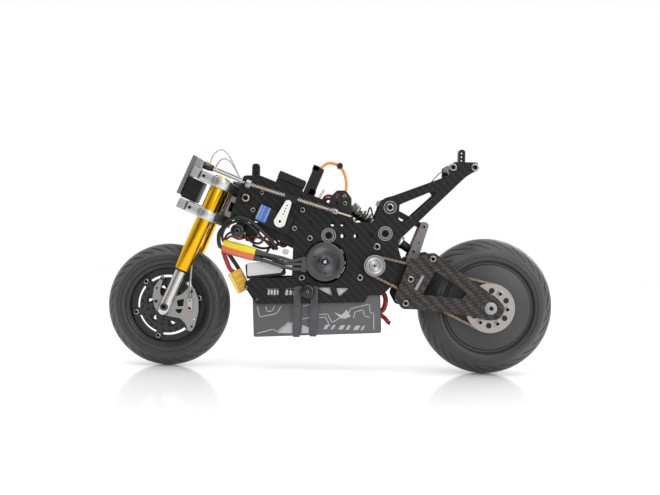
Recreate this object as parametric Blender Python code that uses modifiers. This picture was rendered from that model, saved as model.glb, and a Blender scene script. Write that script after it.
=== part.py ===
"""Radio-controlled motorcycle chassis without its body shell, 400 mm long.

The motorcycle faces -X and its chain side is -Y. The origin lies on the ground, midway along and across.
All sizes below are in millimetres. mm() turns them into Blender's metres.
"""

import math

import bmesh
import bpy
from mathutils import Matrix, Vector

# Wheels, (X, Z) of each axle
FRONT_AXLE = (-145.5, 54.5)
REAR_AXLE = (139.0, 61.0)
FRONT_TYRE_R = 54.5
REAR_TYRE_R = 61.0
FRONT_TYRE_HALF_WIDTH = 16.0
REAR_TYRE_HALF_WIDTH = 20.5
RIM_BOLTS = 6
RIM_BOLT_R = 28.9
RIM_BOLT_ANGLE = 14.0
FLANGE_Y = -9.0

# Fork: the legs pass through the front axle, and the steering axis runs parallel behind them
RAKE = math.radians(22.5)
LEG_Y = 27.0
STEM_OFFSET = 12.0
FORK_TUBE_R = 6.7
SLIDER_R = 5.0
LOWER_CLAMP = (83.5, 92.0)
UPPER_CLAMP = (113.2, 121.8)

# Frame plates, and the two shafts that both of them carry
PLATE_IN = 20.0
PLATE_OUT = 22.5
CLEAR = 0.3
JACKSHAFT = (36.3, 95.3)
MOTOR = (-7.4, 97.4)
MOTOR_R = 17.3

# Swing arm, chain and belt
ARM_IN = 27.5
ARM_OUT = 30.0
CHAIN_PITCH = 3.5
FRONT_TEETH = 15
REAR_TEETH = 38
CHAIN_Y = -24.5
BELT_Y = 25.1
MOTOR_PULLEY_R = 7.6
JACK_PULLEY_R = 19.0

# Rear suspension pivots
TIE_PIVOT = (48.6, 146.9)
LINK_PIVOT = (70.9, 101.4)
LINK_TOP = (80.8, 130.9)
SHOCK_TOP = (8.9, 149.3)
SHOCK_BOTTOM = (72.2, 108.5)

# Steering servo and its rod
SERVO = (-53.2, 133.4)
SERVO_TILT = -22.0
HORN_PIVOT = (-47.6, 131.4)
HORN_TIP = (-41.0, 147.2)
ROD_START = (-78.5, 163.9)
ROD_END = (14.5, 137.5)
ROD_Y = -27.0
LINK_BALL = (-116.2, 178.5)

# Battery
BATTERY = (-13.0, 53.0)
BATTERY_SIZE = (113.0, 38.0, 42.0)
BATTERY_TILT = 3.4

SCREW_R = 1.5
SCREW_HOLE_R = 1.8
HEAD_R = 3.2
CROSS_TUBE_R = 3.0

BLACK = ("black_plastic", (0.018, 0.018, 0.02), 0.45, 0.0)
CARBON = ("carbon_fibre", (0.03, 0.03, 0.033), 0.35, 0.0)
RUBBER = ("tyre_rubber", (0.025, 0.025, 0.027), 0.7, 0.0)
SILVER = ("aluminium", (0.78, 0.78, 0.78), 0.28, 1.0)
STEEL = ("steel", (0.6, 0.58, 0.55), 0.3, 1.0)
GOLD = ("gold_anodised", (0.85, 0.5, 0.03), 0.25, 1.0)
DARK_METAL = ("dark_anodised", (0.12, 0.12, 0.13), 0.35, 0.9)
WHITE = ("white_plastic", (0.8, 0.8, 0.78), 0.4, 0.0)
YELLOW = ("yellow_sleeve", (0.85, 0.75, 0.05), 0.4, 0.0)
ORANGE = ("orange_sleeve", (0.85, 0.25, 0.12), 0.4, 0.0)
AMBER = ("amber_plastic", (0.8, 0.5, 0.03), 0.35, 0.0)
RED = ("red_wire", (0.6, 0.02, 0.02), 0.4, 0.0)
GREY = ("grey_wrap", (0.12, 0.12, 0.12), 0.5, 0.0)
WIRE = ("grey_wire", (0.5, 0.5, 0.48), 0.4, 0.0)


def mm(*values):
    return Vector([v * 0.001 for v in values])


def clear_scene():
    for obj in list(bpy.data.objects):
        bpy.data.objects.remove(obj, do_unlink=True)


def make_collection(name):
    found = bpy.data.collections.new(name)
    bpy.context.scene.collection.children.link(found)
    return found


clear_scene()
PARTS = make_collection("rc_motorcycle")
CUTTERS = make_collection("cutters")
MATERIALS = {}
BODIES = {}


def material(look):
    name, colour, roughness, metallic = look
    if name not in MATERIALS:
        made = bpy.data.materials.new(name)
        made.use_nodes = True
        shader = made.node_tree.nodes["Principled BSDF"]
        shader.inputs["Base Color"].default_value = (*colour, 1.0)
        shader.inputs["Roughness"].default_value = roughness
        shader.inputs["Metallic"].default_value = metallic
        MATERIALS[name] = made
    return MATERIALS[name]


def add_body(name, x, z, y=0.0, parent=None):
    """An empty on the joint's axis, which carries the parts of one moving body."""
    empty = bpy.data.objects.new(name + "_frame", None)
    PARTS.objects.link(empty)
    place = mm(x, y, z)
    if parent:
        empty.parent = BODIES[parent]
        place = place - BODIES[parent].matrix_world.translation
    empty.location = place
    bpy.context.view_layer.update()
    BODIES[name] = empty


def attach(obj, body, look):
    """Hangs an object made at its world place under its body's empty."""
    obj.data.materials.clear()
    obj.data.materials.append(material(look))
    obj.parent = BODIES[body]
    obj.location = obj.location - BODIES[body].matrix_world.translation
    return obj


def new_object(name, data):
    obj = bpy.data.objects.new(name, data)
    PARTS.objects.link(obj)
    return obj


def fork_point(p, s):
    """(X, Z) of a point p behind the steering axis, and s up the fork from the front axle."""
    x = FRONT_AXLE[0] + (p + STEM_OFFSET) * math.cos(RAKE) + s * math.sin(RAKE)
    z = FRONT_AXLE[1] - (p + STEM_OFFSET) * math.sin(RAKE) + s * math.cos(RAKE)
    return (x, z)


def polar(centre, radius, degrees):
    a = math.radians(degrees)
    return (centre[0] + radius * math.cos(a), centre[1] + radius * math.sin(a))


def circle(centre, radius, count=16):
    return [polar(centre, radius, 360 * k / count) for k in range(count)]


def rounded(points, fine=0):
    """A closed outline through corners (x, z, radius), each corner turned into an arc of the given radius."""
    outline = []
    for k, (x, z, radius) in enumerate(points):
        corner = Vector((x, z))
        before = Vector(points[k - 1][:2]) - corner
        after = Vector(points[(k + 1) % len(points)][:2]) - corner
        half = before.angle(after) / 2
        reach = min(radius / math.tan(half), before.length * 0.49, after.length * 0.49)
        if radius <= 0:
            outline.append((x, z))
            continue
        start = corner + before.normalized() * reach
        end = corner + after.normalized() * reach
        steps = 1 + fine + (radius > 2.5) + (radius > 7)
        for j in range(steps + 1):
            t = j / steps
            point = start * (1 - t) ** 2 + corner * 2 * t * (1 - t) + end * t**2
            outline.append((point.x, point.y))
    return outline


def curve_to_mesh(obj):
    """The mesh of a curve object, with its caps welded on, in place of the curve."""
    graph = bpy.context.evaluated_depsgraph_get()
    data = bpy.data.meshes.new_from_object(obj.evaluated_get(graph))
    shape = bmesh.new()
    shape.from_mesh(data)
    bmesh.ops.remove_doubles(shape, verts=shape.verts, dist=1e-6)
    shape.to_mesh(data)
    shape.free()
    name = obj.name
    place = obj.matrix_world.copy()
    bpy.data.objects.remove(obj, do_unlink=True)
    made = new_object(name, data)
    made.matrix_world = place
    return made


def plate(name, outline, y0, y1, holes=()):
    """A flat part standing in the XZ plane between y0 and y1."""
    data = bpy.data.curves.new(name, "CURVE")
    data.dimensions = "2D"
    data.fill_mode = "BOTH"
    data.extrude = abs(y1 - y0) / 2 * 0.001
    for loop in [outline, *holes]:
        spline = data.splines.new("POLY")
        spline.points.add(len(loop) - 1)
        spline.use_cyclic_u = True
        for point, (x, z) in zip(spline.points, loop):
            point.co = (x * 0.001, z * 0.001, 0.0, 1.0)
    obj = new_object(name, data)
    obj.rotation_euler = (math.pi / 2, 0, 0)
    obj.location = mm(0, (y0 + y1) / 2, 0)
    bpy.context.view_layer.update()
    return curve_to_mesh(obj)


def fork_plate(name, outline, s0, s1, holes=()):
    """A flat part across the steering axis: outline in (p, y), between s0 and s1 along the fork."""
    obj = plate(name, outline, s0, s1, holes)
    # The plate's own axes are (p, y, s) until this matrix turns them along the fork.
    across = Vector((math.cos(RAKE), 0, -math.sin(RAKE)))
    along = Vector((math.sin(RAKE), 0, math.cos(RAKE)))
    turn = Matrix((across, Vector((0, 1, 0)), along)).transposed().to_4x4()
    start = fork_point(0, (s0 + s1) / 2)
    obj.matrix_world = Matrix.Translation(mm(start[0], 0, start[1])) @ turn
    bpy.context.view_layer.update()
    return obj


def turned(name, profile, centre=(0, 0, 0), axis=(0, -1, 0), steps=24):
    """A turned part. The profile lists (radius, distance along the axis) from the far end towards the axis' tail."""
    data = bpy.data.meshes.new(name)
    shape = bmesh.new()
    points = [shape.verts.new(mm(r, 0, h)) for r, h in profile]
    for first, second in zip(points, points[1:]):
        shape.edges.new((first, second))
    if profile[0][0] > 0:
        shape.edges.new((points[-1], points[0]))
    shape.to_mesh(data)
    shape.free()
    obj = new_object(name, data)
    screw = obj.modifiers.new("turn", "SCREW")
    screw.steps = steps
    screw.render_steps = steps
    screw.use_merge_vertices = True
    screw.merge_threshold = 0.00001
    screw.use_smooth_shade = False
    obj.rotation_mode = "QUATERNION"
    obj.rotation_quaternion = Vector((0, 0, 1)).rotation_difference(Vector(axis))
    obj.location = mm(*centre)
    bpy.context.view_layer.update()
    return obj


def turned_y(name, profile, centre, steps=24):
    """A part turned about a line along Y through centre (X, Z). The profile lists (radius, y) from -y to +y."""
    return turned(name, [(r, -y) for r, y in profile], (centre[0], 0, centre[1]), (0, -1, 0), steps)


def rod_y(name, centre, radius, y0, y1, steps=16):
    return turned_y(name, [(0, y0), (radius, y0), (radius, y1), (0, y1)], centre, steps)


def fork_turned(name, profile, y=0.0, p=-STEM_OFFSET, steps=24):
    """A part turned about a line along the fork. The profile lists (radius, s) from the top down."""
    foot = fork_point(p, 0)
    axis = (math.sin(RAKE), 0, math.cos(RAKE))
    return turned(name, profile, (foot[0], y, foot[1]), axis, steps)


def block(name, size, centre, tilt=0.0, bevel=0.0):
    """A box centred on (X, Y, Z), tilted by degrees with its rear end rising."""
    data = bpy.data.meshes.new(name)
    shape = bmesh.new()
    bmesh.ops.create_cube(shape, size=1.0)
    bmesh.ops.scale(shape, vec=mm(*size), verts=shape.verts)
    shape.to_mesh(data)
    shape.free()
    obj = new_object(name, data)
    obj.location = mm(*centre)
    obj.rotation_euler = (0, -math.radians(tilt), 0)
    if bevel:
        edge = obj.modifiers.new("edge", "BEVEL")
        edge.width = bevel * 0.001
        edge.segments = 1
    bpy.context.view_layer.update()
    return obj


def smooth(points, count):
    """Points along a smooth curve through the given ones, count between each pair."""
    known = [Vector(p) for p in points]
    known = [known[0] * 2 - known[1], *known, known[-1] * 2 - known[-2]]
    found = []
    for a, b, c, d in zip(known, known[1:], known[2:], known[3:]):
        for j in range(count):
            t = j / count
            found.append(
                0.5 * ((2 * b) + (c - a) * t + (2 * a - 5 * b + 4 * c - d) * t**2 + (3 * b - a - 3 * c + d) * t**3)
            )
    found.append(known[-2])
    return found


def tube(name, points, radius, scales=None, resolution=1):
    """A round wire or tube along the points. The scales list holds one radius factor for each point."""
    data = bpy.data.curves.new(name, "CURVE")
    data.dimensions = "3D"
    data.bevel_depth = radius * 0.001
    data.bevel_resolution = resolution
    data.use_fill_caps = True
    spline = data.splines.new("POLY")
    spline.points.add(len(points) - 1)
    for k, (point, place) in enumerate(zip(spline.points, points)):
        point.co = (*mm(*place), 1.0)
        point.radius = scales[k] if scales else 1.0
    obj = new_object(name, data)
    bpy.context.view_layer.update()
    return obj


def helix(start, end, radius, wire, turns, name):
    """A coil spring between two (X, Y, Z) points, eight points to a turn."""
    a, b = Vector(start), Vector(end)
    axis = (b - a).normalized()
    side = axis.cross(Vector((0, 1, 0))).normalized()
    up = side.cross(axis)
    length = (b - a).length - 2 * wire
    count = int(turns * 8)
    points = []
    for k in range(count + 1):
        angle = 2 * math.pi * k / 8
        along = wire + length * k / count
        points.append(a + axis * along + (side * math.cos(angle) + up * math.sin(angle)) * radius)
    return tube(name, points, wire, resolution=0)


def helper(obj):
    """Turns an object into a cutter: out of the render, drawn as wire, in its own collection."""
    obj.name = obj.name + "_helper"
    obj.hide_render = True
    obj.display_type = "WIRE"
    PARTS.objects.unlink(obj)
    CUTTERS.objects.link(obj)
    return obj


def boolean(base, operation, others):
    for other in others:
        modifier = base.modifiers.new(operation.lower(), "BOOLEAN")
        modifier.operation = operation
        modifier.object = helper(other)
    return base


def cross_tube(name, centre, right_head=True):
    """A tube between the frame plates, with a bolt head outside each of them."""
    head = PLATE_OUT + 0.2
    left = [(0, -head - 1.7), (HEAD_R, -head - 1.7), (HEAD_R, -head), (SCREW_R, -head)]
    middle = [(SCREW_R, -PLATE_IN + CLEAR), (CROSS_TUBE_R, -PLATE_IN + CLEAR)]
    middle += [(CROSS_TUBE_R, PLATE_IN - CLEAR), (SCREW_R, PLATE_IN - CLEAR)]
    right = [(SCREW_R, head), (HEAD_R, head), (HEAD_R, head + 1.7), (0, head + 1.7)]
    if not right_head:
        right = [(SCREW_R, PLATE_OUT), (0, PLATE_OUT)]
    return turned_y(name, left + middle + right, centre, 10)


def tangent_loop(first, r1, second, r2, steps=11):
    """The outline of a band that runs round two circles."""
    a, b = Vector(first), Vector(second)
    gap = (b - a).length
    line = math.atan2(b.y - a.y, b.x - a.x)
    lean = math.acos((r1 - r2) / gap)
    outline = []
    for k in range(steps + 1):
        angle = line + lean + (2 * math.pi - 2 * lean) * k / steps
        outline.append((a.x + r1 * math.cos(angle), a.y + r1 * math.sin(angle)))
    for k in range(steps + 1):
        angle = line - lean + 2 * lean * k / steps
        outline.append((b.x + r2 * math.cos(angle), b.y + r2 * math.sin(angle)))
    return outline


# ---------------------------------------------------------------- frame

FRAME_OUTLINE = [
    (-91.8, 134.0, 2), (-80.8, 171.0, 3), (-66.5, 171.5, 6), (-50.0, 165.4, 8), (-14.0, 153.4, 6),
    (15.5, 137.8, 2), (18.0, 132.8, 3), (34.5, 133.2, 4), (39.6, 146.0, 4), (41.5, 154.5, 8), (51.0, 157.3, 4),
    (87.3, 171.7, 6), (99.8, 176.8, 2), (99.6, 186.0, 3), (104.4, 188.8, 3), (124.5, 189.0, 2),
    (126.5, 184.0, 2), (114.0, 175.2, 6), (55.5, 116.2, 3), (60.4, 101.0, 4), (56.5, 86.0, 4),
    (52.3, 77.5, 3), (44.0, 69.3, 2), (32.0, 69.0, 2), (28.5, 62.6, 2), (-66.6, 58.4, 4),
    (-77.3, 73.5, 2), (-76.8, 77.8, 2), (-69.0, 81.4, 3), (-36.0, 82.6, 1.5), (-35.6, 117.0, 1),
    (-41.0, 119.2, 0.5), (-34.5, 134.6, 1), (-65.8, 147.2, 1), (-72.3, 131.6, 0.5),
]  # fmt: skip
TAIL_WINDOW = [
    (57.0, 149.6, 2), (86.8, 162.9, 1.5), (89.4, 160.9, 1.5), (65.8, 139.0, 2), (60.3, 134.7, 2),
    (56.4, 137.0, 1.5),
]  # fmt: skip
TRAY_WINDOWS = [
    [(-14.0, 74.4, 1), (-2.2, 74.8, 1), (0.4, 67.0, 1)],
    [(3.2, 74.5, 1), (15.2, 74.9, 1), (6.2, 67.0, 1)],
    [(-58.5, 72.5, 2), (-46.0, 73.0, 2), (-46.5, 66.0, 2), (-57.0, 65.5, 2)],
    [(-41.5, 73.2, 2), (-30.0, 73.6, 2), (-32.0, 66.8, 2), (-43.0, 66.3, 2)],
]
SMALL_HOLES = [(-1.3, 130.7), (7.3, 130.9), (7.8, 120.5), (19.5, 120.8), (32.0, 122.3), (-21.2, 130.8)]
DECK_TUBES = [(-64.3, 156.2), (-28.2, 142.2)]
TRAY_TUBES = {"front": (-27.1, 82.8), "rear": (24.1, 84.3)}
TAIL_BOLTS = [(103.2, 183.9), (122.4, 184.4)]
HEAD_BOLT = (-78.4, 151.3)
KNOB = (-21.7, 70.9)
BEARINGS = {"front": (-4.7, 120.6), "rear": (45.1, 123.7)}
BEARING_BODY_R = 4.0


def build_frame_plates():
    for side, sign in (("left", -1), ("right", 1)):
        holes = [circle(p, SCREW_HOLE_R, 8) for p in [*DECK_TUBES, *TRAY_TUBES.values(), *TAIL_BOLTS, HEAD_BOLT]]
        holes += [circle(p, 2.0, 8) for p in SMALL_HOLES]
        holes += [circle(p, BEARING_BODY_R + 0.2, 14) for p in BEARINGS.values()]
        holes += [circle(TIE_PIVOT, 3.3, 12), circle(JACKSHAFT, 5.4, 16), circle(KNOB, SCREW_HOLE_R, 8)]
        holes += [rounded(w) for w in [TAIL_WINDOW, *TRAY_WINDOWS]]
        motor_hole = circle((MOTOR[0] + 0.6, MOTOR[1] - 0.3), 18.6, 28) if sign < 0 else circle(MOTOR, 4.0, 14)
        y0, y1 = sorted((sign * PLATE_IN, sign * PLATE_OUT))
        obj = plate("frame_plate_" + side, rounded(FRAME_OUTLINE), y0, y1, [*holes, motor_hole])
        attach(obj, "chassis", CARBON)


def build_head_block():
    """The steering head between the plates, with the bar for the lower body knobs below it."""
    corners = [(-7.5, 92.7), (-7.5, 112.5), (9.9, 112.5), (9.9, 118.5), (17.5, 118.5), (18.0, 100.0), (24.0, 88.0)]
    corners += [(18.4, 80.5), (12.4, 85.0), (12.4, 92.7)]
    outline = rounded([(*fork_point(p, s), 2) for p, s in corners])
    obj = plate("head_block", outline, -PLATE_IN + CLEAR, PLATE_IN - CLEAR)
    bar = fork_point(18.4, 85.8)
    knob = [(0, -26.5), (4.5, -26.5), (6.2, -25.2), (6.2, -20.6), (4.5, -20.4), (4.5, 20.4), (6.2, 20.6)]
    knob += [(6.2, 25.2), (4.5, 26.5), (0, 26.5)]
    bolt = cross_tube("head_bolt", HEAD_BOLT)
    boolean(obj, "UNION", [turned_y("knob_bar", knob, bar, 14), bolt])
    bore = fork_turned("stem_bore", [(0, 125), (4.4, 125), (4.4, 80), (0, 80)], 0, 0)
    boolean(obj, "DIFFERENCE", [bore])
    attach(obj, "chassis", BLACK)


def build_deck():
    """The electronics deck on its two cross tubes."""
    run = Vector(DECK_TUBES[1]) - Vector(DECK_TUBES[0])
    tilt = math.degrees(math.atan2(run.y, run.x))
    u = run.normalized()
    v = Vector((-u.y, u.x))
    middle = Vector(DECK_TUBES[0]) + u * 21.0 + v * 2.6
    obj = block("top_deck", (64, 2 * (PLATE_IN - CLEAR), 2.0), (middle.x, 0, middle.y), tilt)
    boolean(obj, "UNION", [cross_tube(f"deck_tube_{k}", p) for k, p in enumerate(DECK_TUBES)])
    attach(obj, "chassis", CARBON)
    return tilt


def build_frame_hardware():
    for place, centre in TRAY_TUBES.items():
        attach(cross_tube(f"tray_crossbar_{place}", centre, right_head=False), "chassis", STEEL)
    tail = [(100.5, 187.6, 2), (124.0, 188.0, 2), (125.0, 181.5, 2), (113.0, 176.5, 2), (101.0, 179.5, 2)]
    obj = plate("rear_body_post", rounded(tail), -PLATE_IN + CLEAR, PLATE_IN - CLEAR)
    upright = plate("post", [(110.4, 186.0), (110.4, 201.8), (117.4, 201.8), (117.4, 186.0)], -4, 4,
                    [circle((113.9, z), 1.0, 10) for z in (190.5, 194.2, 197.9)])
    bolts = [cross_tube(f"tail_bolt_{k}", p) for k, p in enumerate(TAIL_BOLTS)]
    boolean(obj, "UNION", [upright, *bolts])
    attach(obj, "chassis", BLACK)
    front = block("front_body_post", (7.0, 7.0, 19.5), (-71.4, 0, 173.6), 0, 0.8)
    attach(front, "chassis", BLACK)


def build_bearings():
    flange = [(6.2, -0.8), (6.2, 0.0), (BEARING_BODY_R, 0.0), (BEARING_BODY_R, 2.9), (2.0, 2.9), (2.0, -0.8)]
    profile = [(r, -PLATE_OUT - 0.2 + y) for r, y in flange]
    for place, centre in BEARINGS.items():
        attach(turned_y(f"frame_bearing_{place}", profile, centre, 14), "chassis", STEEL)


def build_shock_mount():
    """Two ears inside the frame plates, with the pin that carries the shock absorber between them."""
    ear = [(-6.0, 131.0, 2), (-6.0, 146.0, 3), (-3.0, 156.0, 4), (1.5, 160.6, 4), (9.5, 160.8, 5), (14.6, 154.0, 3)]
    ear += [(15.2, 131.0, 2)]
    holes = [circle(p, 1.7, 12) for p in ((1.8, 155.9), (8.5, 156.1), (2.0, 149.6))]
    holes.append(circle((7.3, 134.0), 1.5, 10))
    obj = plate("shock_mount", rounded(ear), -19.7, -17.7, holes)
    other = plate("ear_right", rounded(ear), 17.7, 19.7, holes)
    boolean(obj, "UNION", [other, rod_y("pin", SHOCK_TOP, 1.6, -19.2, 19.2, 12)])
    attach(obj, "chassis", BLACK)


# ---------------------------------------------------------------- electrics


def build_servo():
    obj = block("steering_servo", (33.0, 34.5, 16.0), (SERVO[0], -7.55, SERVO[1]), SERVO_TILT, 0.6)
    tabs = block("tabs", (44.5, 2.4, 14.0), (SERVO[0], -18.4, SERVO[1]), SERVO_TILT)
    boss = rod_y("boss", HORN_PIVOT, 5.0, -29.6, -24.0, 20)
    boolean(obj, "UNION", [tabs, boss])
    attach(obj, "chassis", BLACK)


def build_receiver(tilt):
    attach(block("receiver", (25.0, 26.0, 21.0), (-41.2, 0, 163.2), tilt, 0.8), "chassis", BLACK)
    plugs = block("receiver_plugs", (9.6, 24.0, 27.0), (-19.4, 0, 168.2), tilt, 0.5)
    lead = smooth([(-15, -8, 179), (-7, -9, 185.5), (2.5, -10, 184), (8, -11, 176), (10.5, -12, 165.5)], 4)
    boolean(plugs, "UNION", [curve_to_mesh(tube("servo_leads", lead, 2.2))])
    attach(plugs, "chassis", BLACK)


def build_esc():
    attach(block("speed_controller", (34.4, 24.0, 13.0), (-59.6, -7.3, 88.7), 7.5, 1.2), "chassis", BLACK)


def build_motor():
    can = [(2.0, -28.0), (15.6, -28.0), (MOTOR_R, -26.8), (MOTOR_R, 18.2), (15.8, 19.6), (2.0, 19.6)]
    obj = turned_y("motor_can", can, MOTOR, 32)
    outlet = block("wire_outlet", (8.0, 4.0, 13.0), (-27.2, -25.2, 95.6))
    boolean(obj, "UNION", [outlet])
    attach(obj, "chassis", DARK_METAL)


def build_motor_leads():
    """Each motor lead with its bullet plug's sleeve, as one swelling tube."""
    upper = [(-31.6, -25.2, 98.9), (-42, -25.2, 98.0), (-55, -24.2, 100.6), (-70, -21.5, 103.4), (-98, -17, 109.6)]
    lower = [(-31.6, -25.2, 92.6), (-44, -25.2, 92.0), (-56, -24.2, 94.0), (-71, -20.5, 97.0), (-99, -16, 103.6)]
    for name, route, look in (("upper", upper, YELLOW), ("lower", lower, ORANGE)):
        points = smooth(route, 4)
        scales = [1.0 if k < 10 else 1.9 for k in range(len(points))]
        scales[10] = 1.5
        attach(tube("motor_lead_" + name, points, 1.6, scales), "chassis", look)


def build_battery():
    centre = (BATTERY[0], 0, BATTERY[1])
    attach(block("battery_pack", BATTERY_SIZE, centre, BATTERY_TILT, 2.0), "chassis", GREY)
    attach(block("battery_plug", (12.6, 8.0, 20.0), (-82.9, -8, 77.5), 29.5, 0.8), "chassis", AMBER)


def build_strap():
    """A rubber strap: two bands under the battery, hooked on one knob at each side."""
    half_y = BATTERY_SIZE[1] / 2 + CLEAR
    low = BATTERY[1] - BATTERY_SIZE[2] / 2 - 0.6
    outer = [(-24.1, 75.5), (-24.1, 57.0), (-half_y - 1.2, low + 1.0), (-half_y + 1.0, low - 1.5)]
    outer += [(-y, z) for y, z in outer[::-1]]
    inner = [(-22.9, 75.5), (-22.9, 57.4), (-half_y, low + 1.4), (-half_y + 1.6, low - 0.3)]
    inner += [(-y, z) for y, z in inner[::-1]]
    bands = []
    for k, x in enumerate((-30.6, -15.7)):
        data = bpy.data.curves.new(f"band_{k}", "CURVE")
        data.dimensions = "2D"
        data.fill_mode = "BOTH"
        data.extrude = 0.003
        spline = data.splines.new("POLY")
        loop = outer + inner[::-1]
        spline.points.add(len(loop) - 1)
        spline.use_cyclic_u = True
        for point, (y, z) in zip(spline.points, loop):
            point.co = (y * 0.001, (z + (x - BATTERY[0]) * math.tan(math.radians(BATTERY_TILT))) * 0.001, 0.0, 1.0)
        obj = new_object(f"band_{k}", data)
        obj.rotation_euler = (math.pi / 2, 0, math.pi / 2)
        obj.location = mm(x, 0, 0)
        bpy.context.view_layer.update()
        bands.append(curve_to_mesh(obj))
    hooks = []
    for sign in (-1, 1):
        y0, y1 = sorted((sign * 24.0, sign * 23.0))
        hook = [(-33.0, 66.0, 2), (-33.0, 75.0, 3), (-13.0, 76.0, 3), (-13.0, 67.0, 2)]
        hooks.append(plate(f"hook_{sign}", rounded(hook), y0, y1, [circle(KNOB, 2.4, 12)]))
    strap = bands[0]
    strap.name = "battery_strap"
    boolean(strap, "UNION", [bands[1], *hooks])
    attach(strap, "chassis", GREY)
    for side, sign in (("left", -1), ("right", 1)):
        profile = [(0, 30.0), (4.6, 30.0), (6.4, 28.4), (6.4, 24.6), (SCREW_R, 24.4), (SCREW_R, 20.2), (0, 20.2)]
        knob = turned(f"strap_knob_{side}", profile, (KNOB[0], 0, KNOB[1]), (0, sign, 0))
        attach(knob, "chassis", BLACK)


# ---------------------------------------------------------------- fork and front wheel


def clamp_outline():
    """Both clamps: a cap block in front of a narrow slot, a wide lobe round each tube, and a tongue round the stem."""
    half = [(-38.0, 20.0, 1), (-38.0, 34.0, 1), (-31.2, 34.0, 0), (-31.2, 24.0, 0), (-30.0, 24.0, 0)]
    half += [(-30.0, 36.3, 3), (4.4, 36.3, 5), (4.4, 30.5, 3), (-3.0, 25.0, 2), (-4.2, 17.0, 3), (6.0, 8.0, 5)]
    mirrored = [(p, -y, r) for p, y, r in half[::-1]]
    return rounded([*half, (9.0, 0.0, 7), *mirrored, (-22.0, -17.0, 3), (-22.0, 17.0, 3)])


def build_clamps():
    holes = [circle((-STEM_OFFSET, y), FORK_TUBE_R + 0.25, 28) for y in (-LEG_Y, LEG_Y)]
    upper = fork_plate("upper_clamp", clamp_outline(), *UPPER_CLAMP, [*holes, circle((0, 0), 4.3, 20)])
    attach(upper, "fork_upper", SILVER)
    lower = fork_plate("lower_clamp", clamp_outline(), *LOWER_CLAMP, holes)
    stem = [(0, 126.0), (5.2, 126.0), (5.2, 122.1), (4.0, 122.1), (4.0, 85.0), (0, 85.0)]
    boolean(lower, "UNION", [fork_turned("stem", stem, 0, 0)])
    attach(lower, "fork_upper", SILVER)


def build_fork_tubes():
    for side, y in (("left", -LEG_Y), ("right", LEG_Y)):
        profile = [(0, 123.0), (FORK_TUBE_R, 123.0), (FORK_TUBE_R, 35.2), (SLIDER_R + 0.4, 35.2)]
        profile += [(SLIDER_R + 0.4, 112.0), (0, 112.0)]
        attach(fork_turned("fork_tube_" + side, profile, y), "fork_upper", GOLD)


def build_nose():
    """The number-plate holder, with its bracket above the upper clamp, and the small module box behind it."""
    tilt = -math.degrees(RAKE)
    x, z = fork_point(-43.4, 112.6)
    obj = block("nose_plate", (3.6, 34.0, 36.5), (x, 0, z), tilt)
    x, z = fork_point(-40.4, 126.3)
    bracket = block("bracket", (4.6, 30.0, 8.4), (x, 0, z), tilt)
    attach(boolean(obj, "UNION", [bracket]), "fork_upper", SILVER)
    x, z = fork_point(-34.2, 102.6)
    attach(block("nose_module", (14.0, 28.0, 19.6), (x, 0, z), tilt, 1.0), "fork_upper", BLACK)


def build_brake_cables():
    """Two brake cables that loop over the upper clamp, joined where they enter the steering head."""
    a = [(-113, -7, 178), (-109.5, -6, 188), (-102.1, -4, 195.4), (-94.5, -2, 189), (-87.5, 0, 172.5)]
    b = [(-109, 7, 177), (-106, 6, 183), (-101.0, 4, 187.6), (-94.5, 2, 184), (-87.5, 0, 172.0)]
    obj = curve_to_mesh(tube("brake_cable_loops", smooth(a, 4), 0.8))
    boolean(obj, "UNION", [curve_to_mesh(tube("loop_b", smooth(b, 4), 0.8))])
    attach(obj, "fork_upper", WIRE)


def build_sliders():
    for side, y in (("left", -LEG_Y), ("right", LEG_Y)):
        profile = [(0, 98.0), (SLIDER_R, 98.0), (SLIDER_R, -3.0), (4.2, -6.0), (2.4, -7.8), (0, -8.2)]
        obj = fork_turned("fork_slider_" + side, profile, y)
        hole = rod_y("hole", FRONT_AXLE, 2.3, y - 8, y + 8, 12)
        boolean(obj, "DIFFERENCE", [hole])
        attach(obj, "fork_lower", SILVER)
    end = LEG_Y + SLIDER_R + 0.2
    profile = [(0, -end - 1.0), (3.7, -end - 1.0), (3.7, -end), (2.0, -end), (2.0, end), (3.7, end)]
    profile += [(3.7, end + 1.0), (0, end + 1.0)]
    attach(turned_y("front_axle", profile, FRONT_AXLE, 16), "fork_lower", STEEL)


CALIPER = [
    (-143.0, 45.5, 3), (-151.7, 47.5, 3), (-155.5, 53.0, 3), (-157.6, 62.0, 3), (-156.6, 70.5, 3),
    (-152.2, 77.0, 2), (-150.0, 82.4, 2), (-147.8, 80.6, 1), (-151.0, 68.0, 2), (-150.3, 63.5, 2),
    (-143.0, 62.0, 2), (-135.2, 64.0, 2), (-131.5, 65.5, 2), (-125.0, 72.8, 2), (-121.0, 70.5, 3),
    (-117.4, 61.5, 4), (-116.8, 50.3, 4), (-119.6, 37.8, 3), (-122.6, 32.2, 2), (-125.8, 34.3, 2),
    (-128.6, 39.6, 3), (-133.0, 43.8, 3),
]  # fmt: skip
LEVER_PIVOT = (-124.2, 53.0)


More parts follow.
